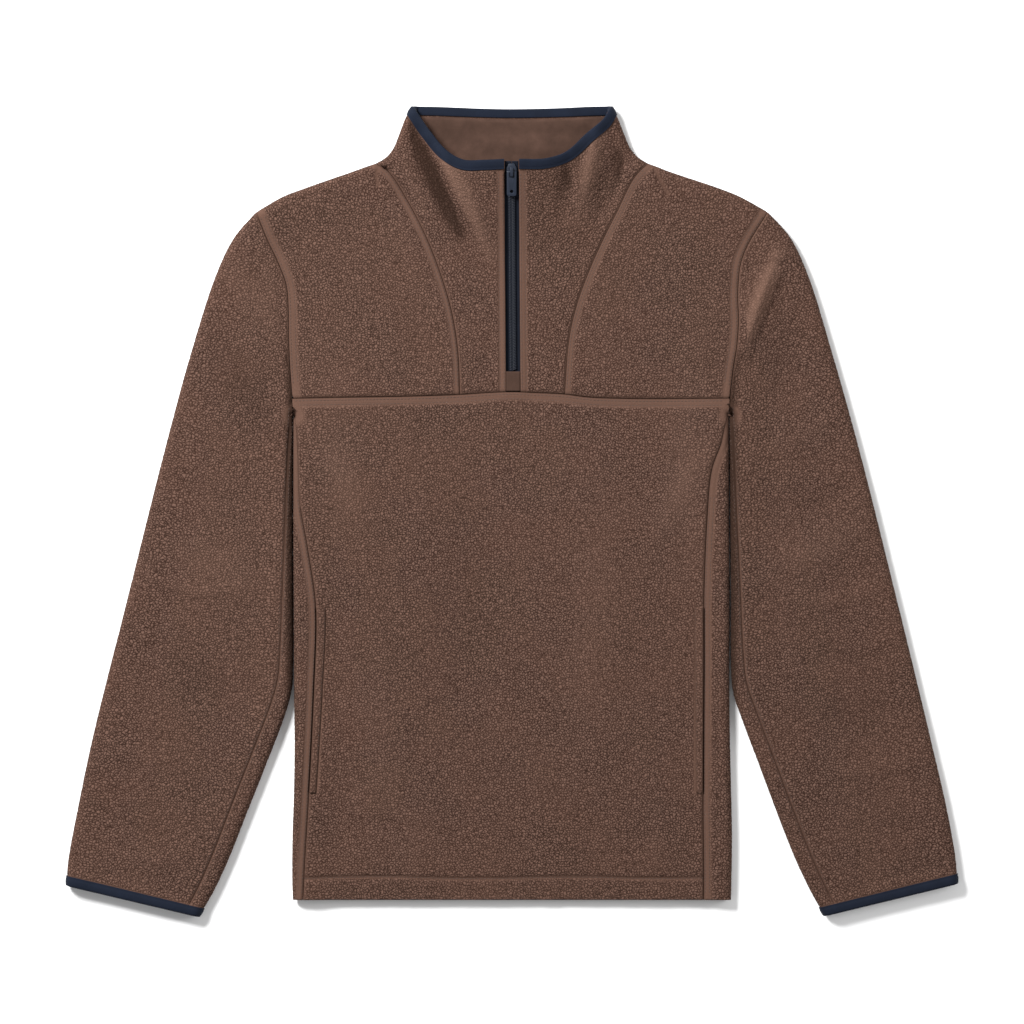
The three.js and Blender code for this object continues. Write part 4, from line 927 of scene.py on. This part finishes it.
CURLED_PILE = curled_pile_group()
KNITTED_FACE = knitted_face_group()
FLEECE = fleece_material(CURLED_PILE)
FACING = knit_material("smooth_facing", KNITTED_FACE, (54, 39, 32), (82, 61, 52), 0.9, (300, 300), 0.0002,
                      Specular_IOR_Level=0.1)
BINDING = knit_material("navy_binding", KNITTED_FACE, (12, 18, 30), (20, 27, 42), 0.85, (380, 380),
                        0.0002, Specular_IOR_Level=0.15)
TAPE = knit_material("navy_tape", KNITTED_FACE, (10, 15, 25), (16, 22, 34), 0.8, (420, 420), 0.0002,
                     Specular_IOR_Level=0.15)
COIL = solid_material("zip_coil", KNITTED_FACE, (13, 20, 34), 0.55)
THREAD = solid_material("brown_thread", KNITTED_FACE, (78, 58, 49), 0.8)
DARK_THREAD = solid_material("dark_thread", KNITTED_FACE, (52, 36, 29), 0.85)
METAL = solid_material("coated_metal", KNITTED_FACE, (28, 36, 51), 0.45, Metallic=0.2)


def yoke_plan(side):
    foot_y = CURVE_ROWS[f"armhole_{side}"][7][1]
    armhole = CURVES[f"armhole_{side}"]
    foot = np.interp(-foot_y, -armhole.points[:, 1], armhole.lengths)
    princess = CURVES[f"princess_{side}"]
    rows = int(princess.length / 1.5)
    left = armhole.at(stations(foot, 0, steps=rows))
    right = princess.at(stations(princess.length, 0, steps=rows))
    shoulder = CURVES[f"shoulder_{side}"]
    columns = 96
    top = shoulder.at(evenly(shoulder.length, 0, columns))
    bottom = CURVES["yoke_seam"].at_across(evenly(left[-1, 0], right[-1, 0], columns))
    bottom[0], bottom[-1] = left[-1], right[-1]
    return inset(patch(top, bottom, left, right), ["left", "right", "bottom"])


def build_yoke(side):
    plan = yoke_plan(side)
    seams = [
        ARMHOLE_SEAMS[side],
        PRINCESS_SEAMS[side],
        seam_on("yoke_seam", dip=1.0),
        seam_on(f"shoulder_tick_{side}", dip=1.0, reach=2.0),
    ]
    fleece_panel(f"front_yoke_{side}_fleece", plan, *cloth(plan, BODY_FOLDS, 1), seams, closed=False)


def zip_centre(y):
    """The zip's middle line, which leans a little to the right on its way down."""
    return -0.45 + 1.65 * (ZIP_TOP_Y - y) / 217


def zip_edge(direction, y):
    return np.stack([zip_centre(y) + direction * ZIP_HALF_OPENING, y], -1)


def direction_of(side):
    return -1 if side == "left" else 1


def binding_row(edge, first_end, last_end):
    """A row at the binding's width from the collar's edge, square to it."""
    along = np.gradient(edge, axis=0)
    square = np.column_stack([along[:, 1], -along[:, 0]])
    square = unit(square * -np.sign(square[:, 1])[:, None])
    for end, corner, reach in ((first_end, edge[0], 24), (last_end, edge[-1], 12)):
        near = np.maximum(1 - np.linalg.norm(edge - corner, axis=1) / reach, 0)[:, None]
        towards = (end - corner) / np.linalg.norm(end - corner)
        square = unit(square * (1 - near) + towards * near)
    return edge + square * BINDING_WIDTH


BINDING_ROWS = 6
COLLAR_ROWS = 26
NECK_POINT_GAP = 0.5
COLLAR_ROW_SPAN = 20
BOW_ROWS = 84
STRAIGHT_FROM_ROW = 4
STRAIGHT_ROWS = 18
STRAIGHT_SHARE = 0.2


def centre_plan(side):
    direction = direction_of(side)
    edge_curve = CURVES[f"collar_front_edge_{side}"]
    edge_stations = stations(edge_curve.length, 1.6)
    edge = edge_curve.at(edge_stations)
    collar_side = CURVES[f"collar_side_{side}"]
    down_side = collar_side.at(evenly(BINDING_WIDTH, collar_side.length - NECK_POINT_GAP, COLLAR_ROWS))
    princess = CURVES[f"princess_{side}"]
    seam = princess.at(stations(princess.length, 1.6)[1:])
    left = np.vstack([down_side, seam])
    zip_foot_y = CURVES["yoke_seam"].at_across(np.array([direction * ZIP_HALF_OPENING]))[0, 1]
    zip_foot = zip_edge(direction, np.array(zip_foot_y))
    second_y = edge[-1, 1] - BINDING_WIDTH
    right_y = np.concatenate([
        evenly(second_y, second_y - COLLAR_ROW_SPAN, COLLAR_ROWS),
        evenly(second_y - COLLAR_ROW_SPAN, zip_foot_y, len(left) - 1 - COLLAR_ROWS)[1:],
    ])
    right = zip_edge(direction, right_y)
    edge[-1] = zip_edge(direction, edge[-1, 1])
    top = binding_row(edge, left[0], right[0])
    top[0], top[-1] = left[0], right[0]
    foot_span = abs(zip_foot[0] - left[-1, 0])
    bottom_stations = evenly(0, foot_span, len(edge_stations) - 1)
    bottom = CURVES["yoke_seam"].at_across(left[-1, 0] - direction * bottom_stations)
    bottom[0], bottom[-1] = left[-1], zip_foot
    top_share, foot_share = shares(top), shares(bottom)
    bow = top - (top[0] + (right[0] - top[0]) * top_share[:, None])
    row = np.arange(len(left))[:, None]
    keep = np.maximum(1 - row / BOW_ROWS, 0) ** 2
    # Beside the neck point the rows run straight, so that none of them lies along the seam.
    keep = keep * (1 - smooth((row - STRAIGHT_FROM_ROW) / STRAIGHT_ROWS)
                   * (1 - smooth(top_share / STRAIGHT_SHARE)))
    down = row / (len(left) - 1)
    share = (top_share[None] * (1 - down) + foot_share[None] * down)[..., None]
    below = left[:, None] + (right - left)[:, None] * share + bow[None] * keep[..., None]
    below[-1] = bottom
    hidden = evenly(0, 1, BINDING_ROWS)[:-1, None, None]
    plan = np.concatenate([edge[None] + (top - edge)[None] * hidden, below])
    # The seam side follows the collar's fold on its first rows, and is drawn in only below them.
    plan = inset(plan, ["bottom"])
    lower = BINDING_ROWS + COLLAR_ROWS + 1
    plan[lower:] = inset(plan[lower:], ["left"])
    return plan


def build_centre(side):
    plan = centre_plan(side)
    places, normals, coordinates = cloth(plan, BODY_FOLDS, 1)
    edge = CURVES[f"collar_front_edge_{side}"].points
    seams = [
        seam_on(f"princess_{side}", dip=0.9, reach=2.4),
        seam_on("yoke_seam", dip=1.0),
        Seam(plan[BINDING_ROWS:, -1], **PLACKET),
    ]
    fleece_panel(f"front_centre_{side}_fleece", plan, places, normals, coordinates, seams, True,
                 lambda points: under_binding(nearest_on(points, edge)[0]))
    return places, normals


BODY_ROW_SPACING = 1.48
SHORT_ROWS = 10


def build_front_body():
    feet = [CURVE_ROWS["armhole_left"][7][0], CURVE_ROWS["armhole_right"][7][0]]
    columns = 264
    first = CURVES["yoke_seam"].at_across(evenly(*feet, columns))
    rows_y = evenly(UNDERARM_Y, HEM_Y, int((UNDERARM_Y - HEM_Y) / BODY_ROW_SPACING))
    left, right = (seam.at_height(rows_y) for seam in both("side_seam"))
    share = evenly(0, 1, columns)[None, :, None]
    lower = left[:, None] * (1 - share) + right[:, None] * share
    # The short rows end at the armholes' feet, so that no hole is left beside the sleeves.
    left_foot, right_foot = (armhole.points[-1] for armhole in both("armhole"))
    feet_row = left_foot * (1 - share[0]) + right_foot * share[0]
    mix = evenly(0, 1, SHORT_ROWS)[:, None, None]
    plan = np.concatenate([first[None] * (1 - mix) + feet_row[None] * mix, lower[1:]])
    plan = inset(plan, ["left", "right", "top"])
    seams = [
        YOKE_SEAM,
        seam_on("side_seam_left", dip=1.1),
        seam_on("side_seam_right", dip=1.1),
        HEM_SEAM,
    ]

    def covered(points):
        x, y = points[:, 0], points[:, 1]
        beside = np.minimum(*(np.abs(x - seam.at_height(y)[:, 0]) for seam in both("side_seam")))
        along = smooth((POCKET_TOP_Y + 1 - y) / 1.5) * smooth((y - POCKET_END_Y + 1) / 1.5)
        return along * (1 - smooth((beside - POCKET_WELT_WIDTH) / 1.5))

    fleece_panel("front_body_fleece", plan, *cloth(plan, BODY_FOLDS, 1), seams, False, covered)


def build_side_panel(side):
    """Columns run from the front seam over the side fold to the matching back seam."""
    direction = direction_of(side)
    rows_y = evenly(UNDERARM_Y, HEM_Y, 300)
    fold = CURVES[f"body_side_{side}"].at_height(rows_y)[:, 0]
    seam = CURVES[f"side_seam_{side}"].at_height(rows_y)[:, 0]
    reach = np.abs(seam - fold) - 2 * SEAM_INSET
    round_reach = np.minimum(reach, FOLD_RADIUS)
    end_angle = np.arccos(1 - round_reach / FOLD_RADIUS)

    def columns(flat_count, round_count):
        flat = reach[:, None] + (round_reach - reach)[:, None] * np.linspace(0, 1, flat_count)[None, :-1]
        flat = np.maximum(flat, round_reach[:, None] + 0.02 * np.arange(flat_count - 1, 0, -1)[None])
        angle = end_angle[:, None] * np.linspace(1, 0, round_count)[None]
        return np.hstack([flat, FOLD_RADIUS * (1 - np.cos(angle))])

    parts = []
    for layer, steps in ((1, columns(12, 8)), (-1, columns(5, 6)[:, -2::-1])):
        plan = plan_of(fold[:, None] - direction * steps, rows_y)
        parts.append((plan, *cloth(plan, [BODY_SIDE_FOLDS[side]], layer)))
    plan, places, normals, coordinates = (np.concatenate(pair, axis=1) for pair in zip(*parts))

    def covered(points):
        """Near the underarm the panel runs out to a point with no pile on it."""
        narrow = np.abs(CURVES[f"side_seam_{side}"].at_height(points[:, 1])[:, 0]
                        - CURVES[f"body_side_{side}"].at_height(points[:, 1])[:, 0])
        return 1 - smooth((narrow - 1.5) / 5)

    fleece_panel(f"side_panel_{side}_fleece", plan, places, normals, coordinates, [SIDE_SEAMS[side]],
                 False, covered)


def build_back():
    spacing = 4.0
    neck = CURVES["back_neck_seam"]
    shoulders = both("shoulder")
    top = np.vstack([
        shoulders[0].at(evenly(shoulders[0].length, 0, 30)),
        neck.at(stations(neck.length, spacing, at_end=True))[1:-1],
        shoulders[1].at(evenly(0, shoulders[1].length, 30)),
    ])
    sides = [path.at(stations(path.length, 0, at_end=True, steps=46)) for path in both("armhole")]
    share = shares(top)
    bottom = sides[0][-1] + (sides[1][-1] - sides[0][-1]) * share[:, None]
    upper = patch(top, bottom, *sides)
    rows_y = evenly(UNDERARM_Y, HEM_Y, 114)
    left, right = (seam.at_height(rows_y) for seam in both("side_seam"))
    lower = left[:, None] + (right - left)[:, None] * share[None, :, None]
    plan = inset(np.concatenate([upper[:-1], lower]), ["left", "right"])
    seams = [seam_on(name, dip=0.8) for name in
             ("back_neck_seam", "armhole_left", "armhole_right", "side_seam_left", "side_seam_right")]
    seams.append(seam_on("hem_stitch", dip=0.8))
    fleece_panel("back_body_fleece", plan, *cloth(plan, BODY_FOLDS, -1), seams, closed=False)


def build_back_collar():
    edge, neck = CURVES["collar_back_edge"], CURVES["back_neck_seam"]
    count = 58
    top = edge.at(stations(edge.length, 0, at_end=True, steps=count))
    bottom = neck.at(stations(neck.length, 0, at_end=True, steps=count))
    sides = []
    for path in both("collar_side"):
        below = evenly(BINDING_WIDTH, path.length, 20)[1:]
        sides.append(path.at(np.concatenate([evenly(0, BINDING_WIDTH, BINDING_ROWS), below])))
    plan = inset(patch(top, bottom, *sides), ["bottom"])
    places, normals, coordinates = cloth(plan, BODY_FOLDS, -1)
    fleece_panel("collar_back_fleece", plan, places, normals, coordinates, [Seam(neck.points, dip=0.8)], True,
                 lambda points: under_binding(nearest_on(points, edge.points)[0]))
    return places, normals


SLEEVE_ROWS = 350
SLEEVE_COLUMNS = 108


def sleeve_plan(side):
    """Plan columns run from the outer fold to the inner fold, rows from the armhole to the cuff."""
    armhole = CURVES[f"armhole_{side}"]
    outer, inner = CURVES[f"sleeve_outer_{side}"], CURVES[f"sleeve_inner_{side}"]
    seam_at = armhole.length - UNDERARM_SEAM_INSET
    flat = evenly(FOLD_RADIUS, seam_at, SLEEVE_COLUMNS)
    last = armhole.length - fold_steps()[::-1]
    before_fold = evenly(seam_at, last[0], 4)[1:-1]
    columns = np.concatenate([fold_steps(), flat[1:], before_fold, last])
    seam_column = FOLD_CUTS + SLEEVE_COLUMNS
    top = armhole.at(columns)
    cuff = outer.points[-1], inner.points[-1]
    cuff_length = np.linalg.norm(cuff[1] - cuff[0])
    change = np.interp(columns, [0, FOLD_RADIUS, seam_at, armhole.length],
                       [0, FOLD_RADIUS, cuff_length - UNDERARM_SEAM_INSET, cuff_length])
    bottom = cuff[0] + (cuff[1] - cuff[0]) * (change / cuff_length)[:, None]
    sides = []
    for path in (outer, inner):
        steps = np.concatenate([
            evenly(0, path.length - BINDING_WIDTH, SLEEVE_ROWS),
            evenly(path.length - BINDING_WIDTH, path.length, BINDING_ROWS)[1:],
        ])
        sides.append(path.at(steps))
    return patch(top, bottom, *sides), seam_column


def build_sleeve(side):
    folds = SLEEVE_FOLDS[side]
    plan, seam_column = sleeve_plan(side)
    plan = inset(plan, ["top"])
    last = plan.shape[1] - 1
    over = cloth(plan, folds, 1)
    # The under layer shows only from below, so its columns stand further apart.
    wide = np.unique(np.concatenate([np.arange(0, FOLD_CUTS + 1), np.arange(FOLD_CUTS, last - FOLD_CUTS, 3),
                                     np.arange(last - FOLD_CUTS, last + 1)]))
    under = cloth(plan[:, wide], folds, -1)
    parts = []
    for above, below in zip((plan, *over), (plan[:, wide], *under)):
        parts.append(np.concatenate([
            above[:, seam_column::-1],
            below[:, 1:-1],
            above[:, :seam_column - 1:-1],
        ], axis=1))
    ring_plan, places, normals, coordinates = parts
    seams = [
        seam_on(f"armhole_{side}", dip=0.5, reach=2.0),
        Seam(plan[:, seam_column], **UNDERARM),
    ]
    fleece_panel(f"sleeve_{side}_fleece", ring_plan, places, normals, coordinates, seams, False,
                 lambda points: under_binding(from_cuff_line(points, side)))
    return places[::-1][:BINDING_ROWS + 1], normals[::-1][:BINDING_ROWS + 1]


def binding_strip(name, row_places, row_normals, replaced):
    """A folded strip over an edge, from a row behind it on one face to the same row on the other."""
    edge_place, second_place = row_places[0], row_places[-1]
    edge_normal, second_normal = row_normals[0], row_normals[-1]
    out = unit(edge_place - second_place)
    near, far = TRIM_CLEARANCE, TRIM_CLEARANCE + BINDING_THICKNESS
    # Each row: the share of the width, the height off the cloth, and the reach past the edge.
    profile = [
        (0.0, near, 0), (0.0, far - 0.25, -0.1), (0.06, far, 0), (0.16, far - 0.35, 0), (0.28, far + 0.1, 0),
        (0.55, far + 0.25, 0), (0.85, far + 0.15, 0), (1.0, far - 0.15, 0.5), (1.0, 0.55, 1.0),
        (1.0, -0.6, 1.3), (1.0, -WALL / 2, 1.4), (1.0, -WALL + 0.6, 1.3), (1.0, -WALL - 0.55, 1.0),
        (1.0, -WALL - far + 0.15, 0.5), (0.85, -WALL - far, 0), (0.4, -WALL - far, 0),
        (0.06, -WALL - far, 0), (0.0, -WALL - far + 0.25, -0.1), (0.0, -WALL - near, 0),
    ]
    places, widths = [], []
    for share, offset, outward in profile:
        place = (1 - share) * (len(row_places) - 1)
        low = min(int(place), len(row_places) - 2)
        part = place - low
        base = row_places[low] * (1 - part) + row_places[low + 1] * part
        normal = row_normals[low] * (1 - part) + row_normals[low + 1] * part
        places.append(base + normal * offset + out * outward)
        widths.append(share * BINDING_WIDTH)
    places = np.stack(places, 1)
    across = Path(places[len(places) // 2]).lengths
    along = Path(edge_place).lengths
    coordinates = np.stack(np.broadcast_arrays(across[None], along[:, None]), -1)
    middle = (second_place + edge_place) / 2 - (second_normal + edge_normal) / 2 * WALL / 2
    normals = places - middle[:, None]
    piece = grid_piece(name, places, normals, coordinates)
    finish_piece(piece, BINDING, replaced=(replaced,))


def strip_along_zip(name, y0, y1, steps, columns, reach, outer_offset, thickness, material, slot, *replaced):
    """A flat strip beside the zip's middle line, between the two distances of its reach."""
    y = evenly(y0, y1, steps)
    share = evenly(0, 1, columns)[None]
    near_x, far_x = ((zip_centre(y) + offset)[:, None] for offset in reach)
    plan = plan_of(near_x * (1 - share) + far_x * share, y)
    places, normals, _ = cloth(plan, BODY_FOLDS, 1)
    piece = grid_piece(name, places + normals * outer_offset, normals, plan)
    give_wall(piece, thickness)
    finish_piece(piece, material, replaced=replaced)


def build_facing():
    edge = CURVES["collar_back_edge"]
    margin = FOLD_RADIUS + 1
    top = edge.at_across(evenly(-99.5 + margin, 99.5 - margin, 64)) - [0, BINDING_WIDTH + TRIM_CLEARANCE]
    lower = CURVES["facing_lower_edge"]
    bottom = lower.at(evenly(0, lower.length, 64))
    rows = evenly(0, 1, 26)[:, None]
    plan = patch(top, bottom, top[0] + (bottom[0] - top[0]) * rows, top[-1] + (bottom[-1] - top[-1]) * rows)
    places, normals, coordinates = cloth(plan, BODY_FOLDS, -1)
    inner = places + normals * (-WALL - UNDER_LAYER_CLEARANCE - FACING_THICKNESS)
    piece = grid_piece("collar_facing_knit", inner, -normals, coordinates)
    give_wall(piece, FACING_THICKNESS)
    finish_piece(piece, FACING, replaced=("collar_facing",))


def welt_rows(side, rows_y):
    """The side seam's x and the welt's width, a little less at its foot, at each row."""
    seam = CURVES[f"side_seam_{side}"].at_height(rows_y)[:, 0]
    return seam, np.linspace(POCKET_WELT_WIDTH + 0.6, POCKET_WELT_WIDTH - 1.6, len(rows_y))


def build_pocket_welt(side):
    """The welt's pile is worn low, and pressed flat at its edges."""
    direction = direction_of(side)
    rows_y = evenly(POCKET_TOP_Y, POCKET_END_Y, 110)
    seam, width = welt_rows(side, rows_y)
    columns = 7
    share = evenly(0, 1, columns)[None]
    x = seam[:, None] - direction * (TRIM_CLEARANCE + width[:, None] * share)
    places, normals, coordinates = cloth(plan_of(x, rows_y), BODY_FOLDS, 1)
    height = nubs(coordinates.reshape(-1, 2)).reshape(x.shape)
    edge = np.minimum(np.minimum(share, 1 - share) * columns / 1.5, 1) * np.ones_like(x)
    offset = TRIM_CLEARANCE + 0.3 + edge * (0.45 + 0.5 * height)
    places = places + normals * offset[..., None]
    piece = grid_piece(f"pocket_welt_{side}_fleece", places, normals, coordinates)
    give_wall(piece, WELT_THICKNESS)
    mesh = piece.data
    set_values(mesh, "pile", (0.85 * edge).ravel(), 0.5)
    set_values(mesh, "nub", (height * edge).ravel(), 0.3)
    # Painted shade: the welt's edges are darkened through the press value.
    set_values(mesh, "press", (1 - edge).ravel(), 0.8)
    finish_piece(piece, FLEECE, replaced=(f"pocket_welt_{side}",))


def one_tooth():
    """One turn of the coil: a short bar with rounded ends, around its own middle."""
    bpy.ops.object.select_all(action="DESELECT")
    bpy.ops.mesh.primitive_cylinder_add(vertices=8, radius=0.5, depth=1)
    tooth = lie_along_x(bpy.context.active_object)
    apply_modifier(tooth, "BEVEL", width=0.16, segments=1, limit_method="ANGLE")
    return tooth


def copies_of(template, name, frames, material, slot, *replaced):
    """One mesh of many copies of a small template, each placed by a 3 by 4 frame in millimetres."""
    mesh = template.data
    points = np.array([vertex.co[:] for vertex in mesh.vertices])
    faces = [tuple(face.vertices) for face in mesh.polygons]
    placed = np.einsum("nij,pj->npi", frames[:, :, :3], points) + frames[:, None, :, 3]
    joined = bpy.data.meshes.new(name)
    count = len(points)
    joined.from_pydata(
        (placed.reshape(-1, 3) * MM).tolist(), [],
        [tuple(index + copy * count for index in face) for copy in range(len(frames)) for face in faces],
    )
    bpy.data.objects.remove(template)
    finish_piece(new_object(name, joined), material, replaced=replaced)


def frames_at(places, along, normals, sizes):
    """Frames whose axes lie along a line, across it and out of the cloth, scaled to the sizes."""
    along = unit(along)
    across = unit(np.cross(normals, along))
    out = np.cross(along, across)
    axes = np.stack([along * sizes[0], across * sizes[1], out * sizes[2]], -1)
    return np.concatenate([axes, places[:, :, None]], -1)


COIL_PITCH = 1.5
COIL_TOOTH_SIZE = (3.7, 1.05, 1.5)


def build_zip():
    for side in TURNS:
        direction = direction_of(side)
        strip_along_zip(
            f"zip_tape_{side}_woven", ZIP_TOP_Y - BINDING_WIDTH - 2, ZIP_TAPE_END_Y, 90, 6,
            (direction * SEAM_INSET, direction * (ZIP_HALF_OPENING + TAPE_HIDDEN)),
            -WALL - UNDER_LAYER_CLEARANCE, TAPE_THICKNESS, TAPE, "navy_binding", f"zip_tape_{side}",
        )
        strip_along_zip(
            f"zip_tape_end_{side}", ZIP_TOP_Y - 0.6, ZIP_TOP_Y - BINDING_WIDTH - 2.2, 10, 6,
            (direction * SEAM_INSET, direction * (ZIP_HALF_OPENING - 0.5)),
            -2.6, TAPE_THICKNESS, TAPE, "navy_binding",
        )
    inset_x = ZIP_HALF_OPENING - TRIM_CLEARANCE
    strip_along_zip(
        "zip_stop_patch_knit", COIL_END_Y - 0.3, ZIP_TAPE_END_Y, 12, 8,
        (-inset_x, inset_x), -0.9, PATCH_THICKNESS, FACING, "smooth_facing", "zip_stop_patch",
    )
    frames = []
    for direction in (-1, 1):
        start = COIL_TOP_Y - 0.8 - (COIL_PITCH / 2 if direction > 0 else 0)
        y = np.arange(start, COIL_END_Y + 0.5, -COIL_PITCH)
        plan = np.stack([zip_centre(y) + direction * 1.45, y], -1)
        places, normals, _ = cloth(plan, BODY_FOLDS, 1)
        places = places + normals * (-WALL - UNDER_LAYER_CLEARANCE + TRIM_CLEARANCE + 0.95)
        lean = np.tile([1.0, direction * 0.34, 0.0], (len(y), 1))
        frames.append(frames_at(places, lean, normals, COIL_TOOTH_SIZE))
    copies_of(one_tooth(), "zip_coil_teeth", np.concatenate(frames), COIL, "zip_coil", "zip_coil")


def rounded_hardware(node, name, body, radius):
    """The node's own form with its edges rounded, as a separate piece."""
    source = bpy.data.objects[node]
    mesh = source.data.copy()
    mesh.name = name
    mesh.transform(source.matrix_world)
    piece = new_object(name, mesh)
    select_only(piece)
    with all_points_open():
        bpy.ops.mesh.remove_doubles(threshold=0.00001)
        bpy.ops.mesh.dissolve_limited(angle_limit=math.radians(2))
    apply_modifier(piece, "BEVEL", width=radius, segments=2, limit_method="ANGLE",
                   angle_limit=math.radians(35))
    finish_piece(piece, METAL, body, (node,))
    select_only(piece)
    bpy.ops.object.shade_smooth_by_angle(angle=math.radians(40))


def one_stitch():
    bpy.ops.object.select_all(action="DESELECT")
    bpy.ops.mesh.primitive_uv_sphere_add(segments=6, ring_count=4, radius=0.5)
    return lie_along_x(bpy.context.active_object)


def beside(line, distance):
    """A line at a distance to the left of another's direction."""
    along = unit(np.gradient(line, axis=0))
    return line + np.column_stack([-along[:, 1], along[:, 0]]) * distance


STITCH_PITCH = 3.3
STITCH_SIZE = (2.5, 0.62, 0.5)


def stitch_frames(line, folds, seams, start=4, end=4, lift=0.12):
    """A frame for each stitch along a line, with lengths left free at its start and end."""
    path = Path(line)
    count = int((path.length - start - end) / STITCH_PITCH)
    if count < 2:
        return np.zeros((0, 3, 4))
    distances = start + STITCH_PITCH * np.arange(count)
    points = path.at(distances)
    places, normals, _ = cloth(points, folds, 1)
    press, _ = along_seams(points, seams)
    places = places + normals * (press + lift)[:, None]
    ahead, _, _ = cloth(path.at(distances + 0.5), folds, 1)
    behind, _, _ = cloth(path.at(distances - 0.5), folds, 1)
    return frames_at(places, ahead - behind, normals, STITCH_SIZE)


def build_topstitching():
    frames = [stitch_frames(beside(YOKE_SEAM.line, distance), BODY_FOLDS, [YOKE_SEAM])
              for distance in (-2.2, -6.4)]
    frames.append(stitch_frames(HEM_SEAM.line, BODY_FOLDS, [HEM_SEAM], lift=0.3))
    for side in TURNS:
        direction = direction_of(side)
        armhole, princess, side_seam = ARMHOLE_SEAMS[side], PRINCESS_SEAMS[side], SIDE_SEAMS[side]
        # The band beside the side seam is wide enough for its second row only below the waist.
        below = side_seam.line[side_seam.line[:, 1] < 20]
        zip_y = evenly(ZIP_TOP_Y - BINDING_WIDTH - 3, ZIP_TAPE_END_Y - 1, 80)
        placket = Seam(zip_edge(direction, zip_y), **PLACKET)
        plan, seam_column = sleeve_plan(side)
        underarm = Seam(plan[::6, seam_column], **UNDERARM)
        # The line, the way and the two distances of its rows, its seam, and what stays free at its ends.
        for line, way, distances, seam, start, end in (
            (armhole.line, -direction, (2.0, 6.2), armhole, 8, 26),
            (princess.line, direction, (1.8, 4.6), princess, 9, 4),
            (below, direction, (1.6, 5.4), side_seam, 4, 4),
            (placket.line, None, (1.4, 5.2), placket, 2, 2),
            (underarm.line, 1, (-2.0, 2.0), underarm, 8, 14),
        ):
            folds = SLEEVE_FOLDS[side] if seam is underarm else BODY_FOLDS
            for distance in distances:
                row = beside(line, way * distance) if way else line + [direction * distance, 0]
                frames.append(stitch_frames(row, folds, [seam], start, end))
    copies_of(one_stitch(), "topstitching", np.concatenate(frames), THREAD, "sherpa_fleece")


def build_pocket_stitching():
    frames = []
    for side in TURNS:
        direction = direction_of(side)
        y = evenly(POCKET_TOP_Y - 1, POCKET_END_Y + 1, 60)
        seam, width = welt_rows(side, y)
        inner = np.column_stack([seam - direction * (width - 0.9), y])
        frames.append(stitch_frames(inner, BODY_FOLDS, [], 1, 1, lift=1.0))
        for index in (0, -1):
            reach = direction * np.array([1, width[index] - 1])
            ends = np.column_stack([seam[index] - reach, [y[index]] * 2])
            frames.append(stitch_frames(ends, BODY_FOLDS, [], 0, 0, lift=1.0))
    copies_of(one_stitch(), "pocket_stitching", np.concatenate(frames), DARK_THREAD, "smooth_facing")


def build_floor():
    bpy.ops.object.select_all(action="DESELECT")
    bpy.ops.mesh.primitive_plane_add(size=60, location=(0, 0, -0.0004))
    floor = bpy.context.active_object
    floor.name = "pale_floor"
    material, _, shader = new_material("pale_paper", 0.9, Specular_IOR_Level=0.1)
    shader.inputs["Base Color"].default_value = (0.93, 0.93, 0.93, 1)
    floor.data.materials.append(material)


def add_softbox(name, place, aim, size, power):
    light = bpy.data.lights.new(name, "AREA")
    light.shape, light.size, light.energy = "DISK", size, power
    lamp = new_object(name, light)
    lamp.location = place
    way = Vector(aim) - Vector(place)
    lamp.rotation_euler = way.to_track_quat("-Z", "Y").to_euler()


# Lights in watts, and the camera straight above the middle, in metres.
WORLD_STRENGTH = 0.44
HIGH_POWER = 222
RIGHT_POWER = 30
CAMERA_HEIGHT = 6.0
MIDDLE_HEIGHT = 0.012
FRAME_WIDTH = 0.96256
CAMERA_Y = -0.00047
SENSOR_WIDTH = 36


def light_and_camera():
    world = bpy.data.worlds.new("pale_studio")
    bpy.context.scene.world = world
    world.use_nodes = True
    background = world.node_tree.nodes["Background"].inputs
    background["Color"].default_value = (1, 1, 1, 1)
    background["Strength"].default_value = WORLD_STRENGTH
    add_softbox("softbox_high", (-1.7, 1.7, 2.2), (0, 0, 0), 1.2, HIGH_POWER)
    add_softbox("softbox_right", (2.4, 0.4, 1.6), (0, 0, 0), 1.4, RIGHT_POWER)
    lens = bpy.data.cameras.new("camera")
    camera = new_object("camera", lens)
    bpy.context.scene.camera = camera
    camera.location = (0, CAMERA_Y, CAMERA_HEIGHT)
    bpy.context.scene.view_settings.view_transform = "Standard"
    lens.sensor_width = SENSOR_WIDTH
    lens.lens = SENSOR_WIDTH * (CAMERA_HEIGHT - MIDDLE_HEIGHT) / FRAME_WIDTH
    lens.clip_end = 100


light_and_camera()
build_floor()
build_front_body()
for side in TURNS:
    build_yoke(side)
    build_side_panel(side)
build_back()
left_centre = build_centre("left")
right_centre = build_centre("right")
back_collar = build_back_collar()
bound = slice(0, BINDING_ROWS + 1)
chains = [
    np.concatenate([left[bound, ::-1], back[bound, 1:-1], right[bound]], axis=1)
    for left, back, right in zip(left_centre, back_collar, right_centre)
]
binding_strip("collar_binding_tape", *chains, "collar_binding")
for side in TURNS:
    binding_strip(f"cuff_binding_{side}_tape", *build_sleeve(side), f"cuff_binding_{side}")
    build_pocket_welt(side)
build_facing()
build_zip()
rounded_hardware("zip_slider", "zip_slider_body", "garment", 0.0003)
rounded_hardware("zip_pull", "zip_pull_tab", "pull", 0.00035)
build_topstitching()
build_pocket_stitching()
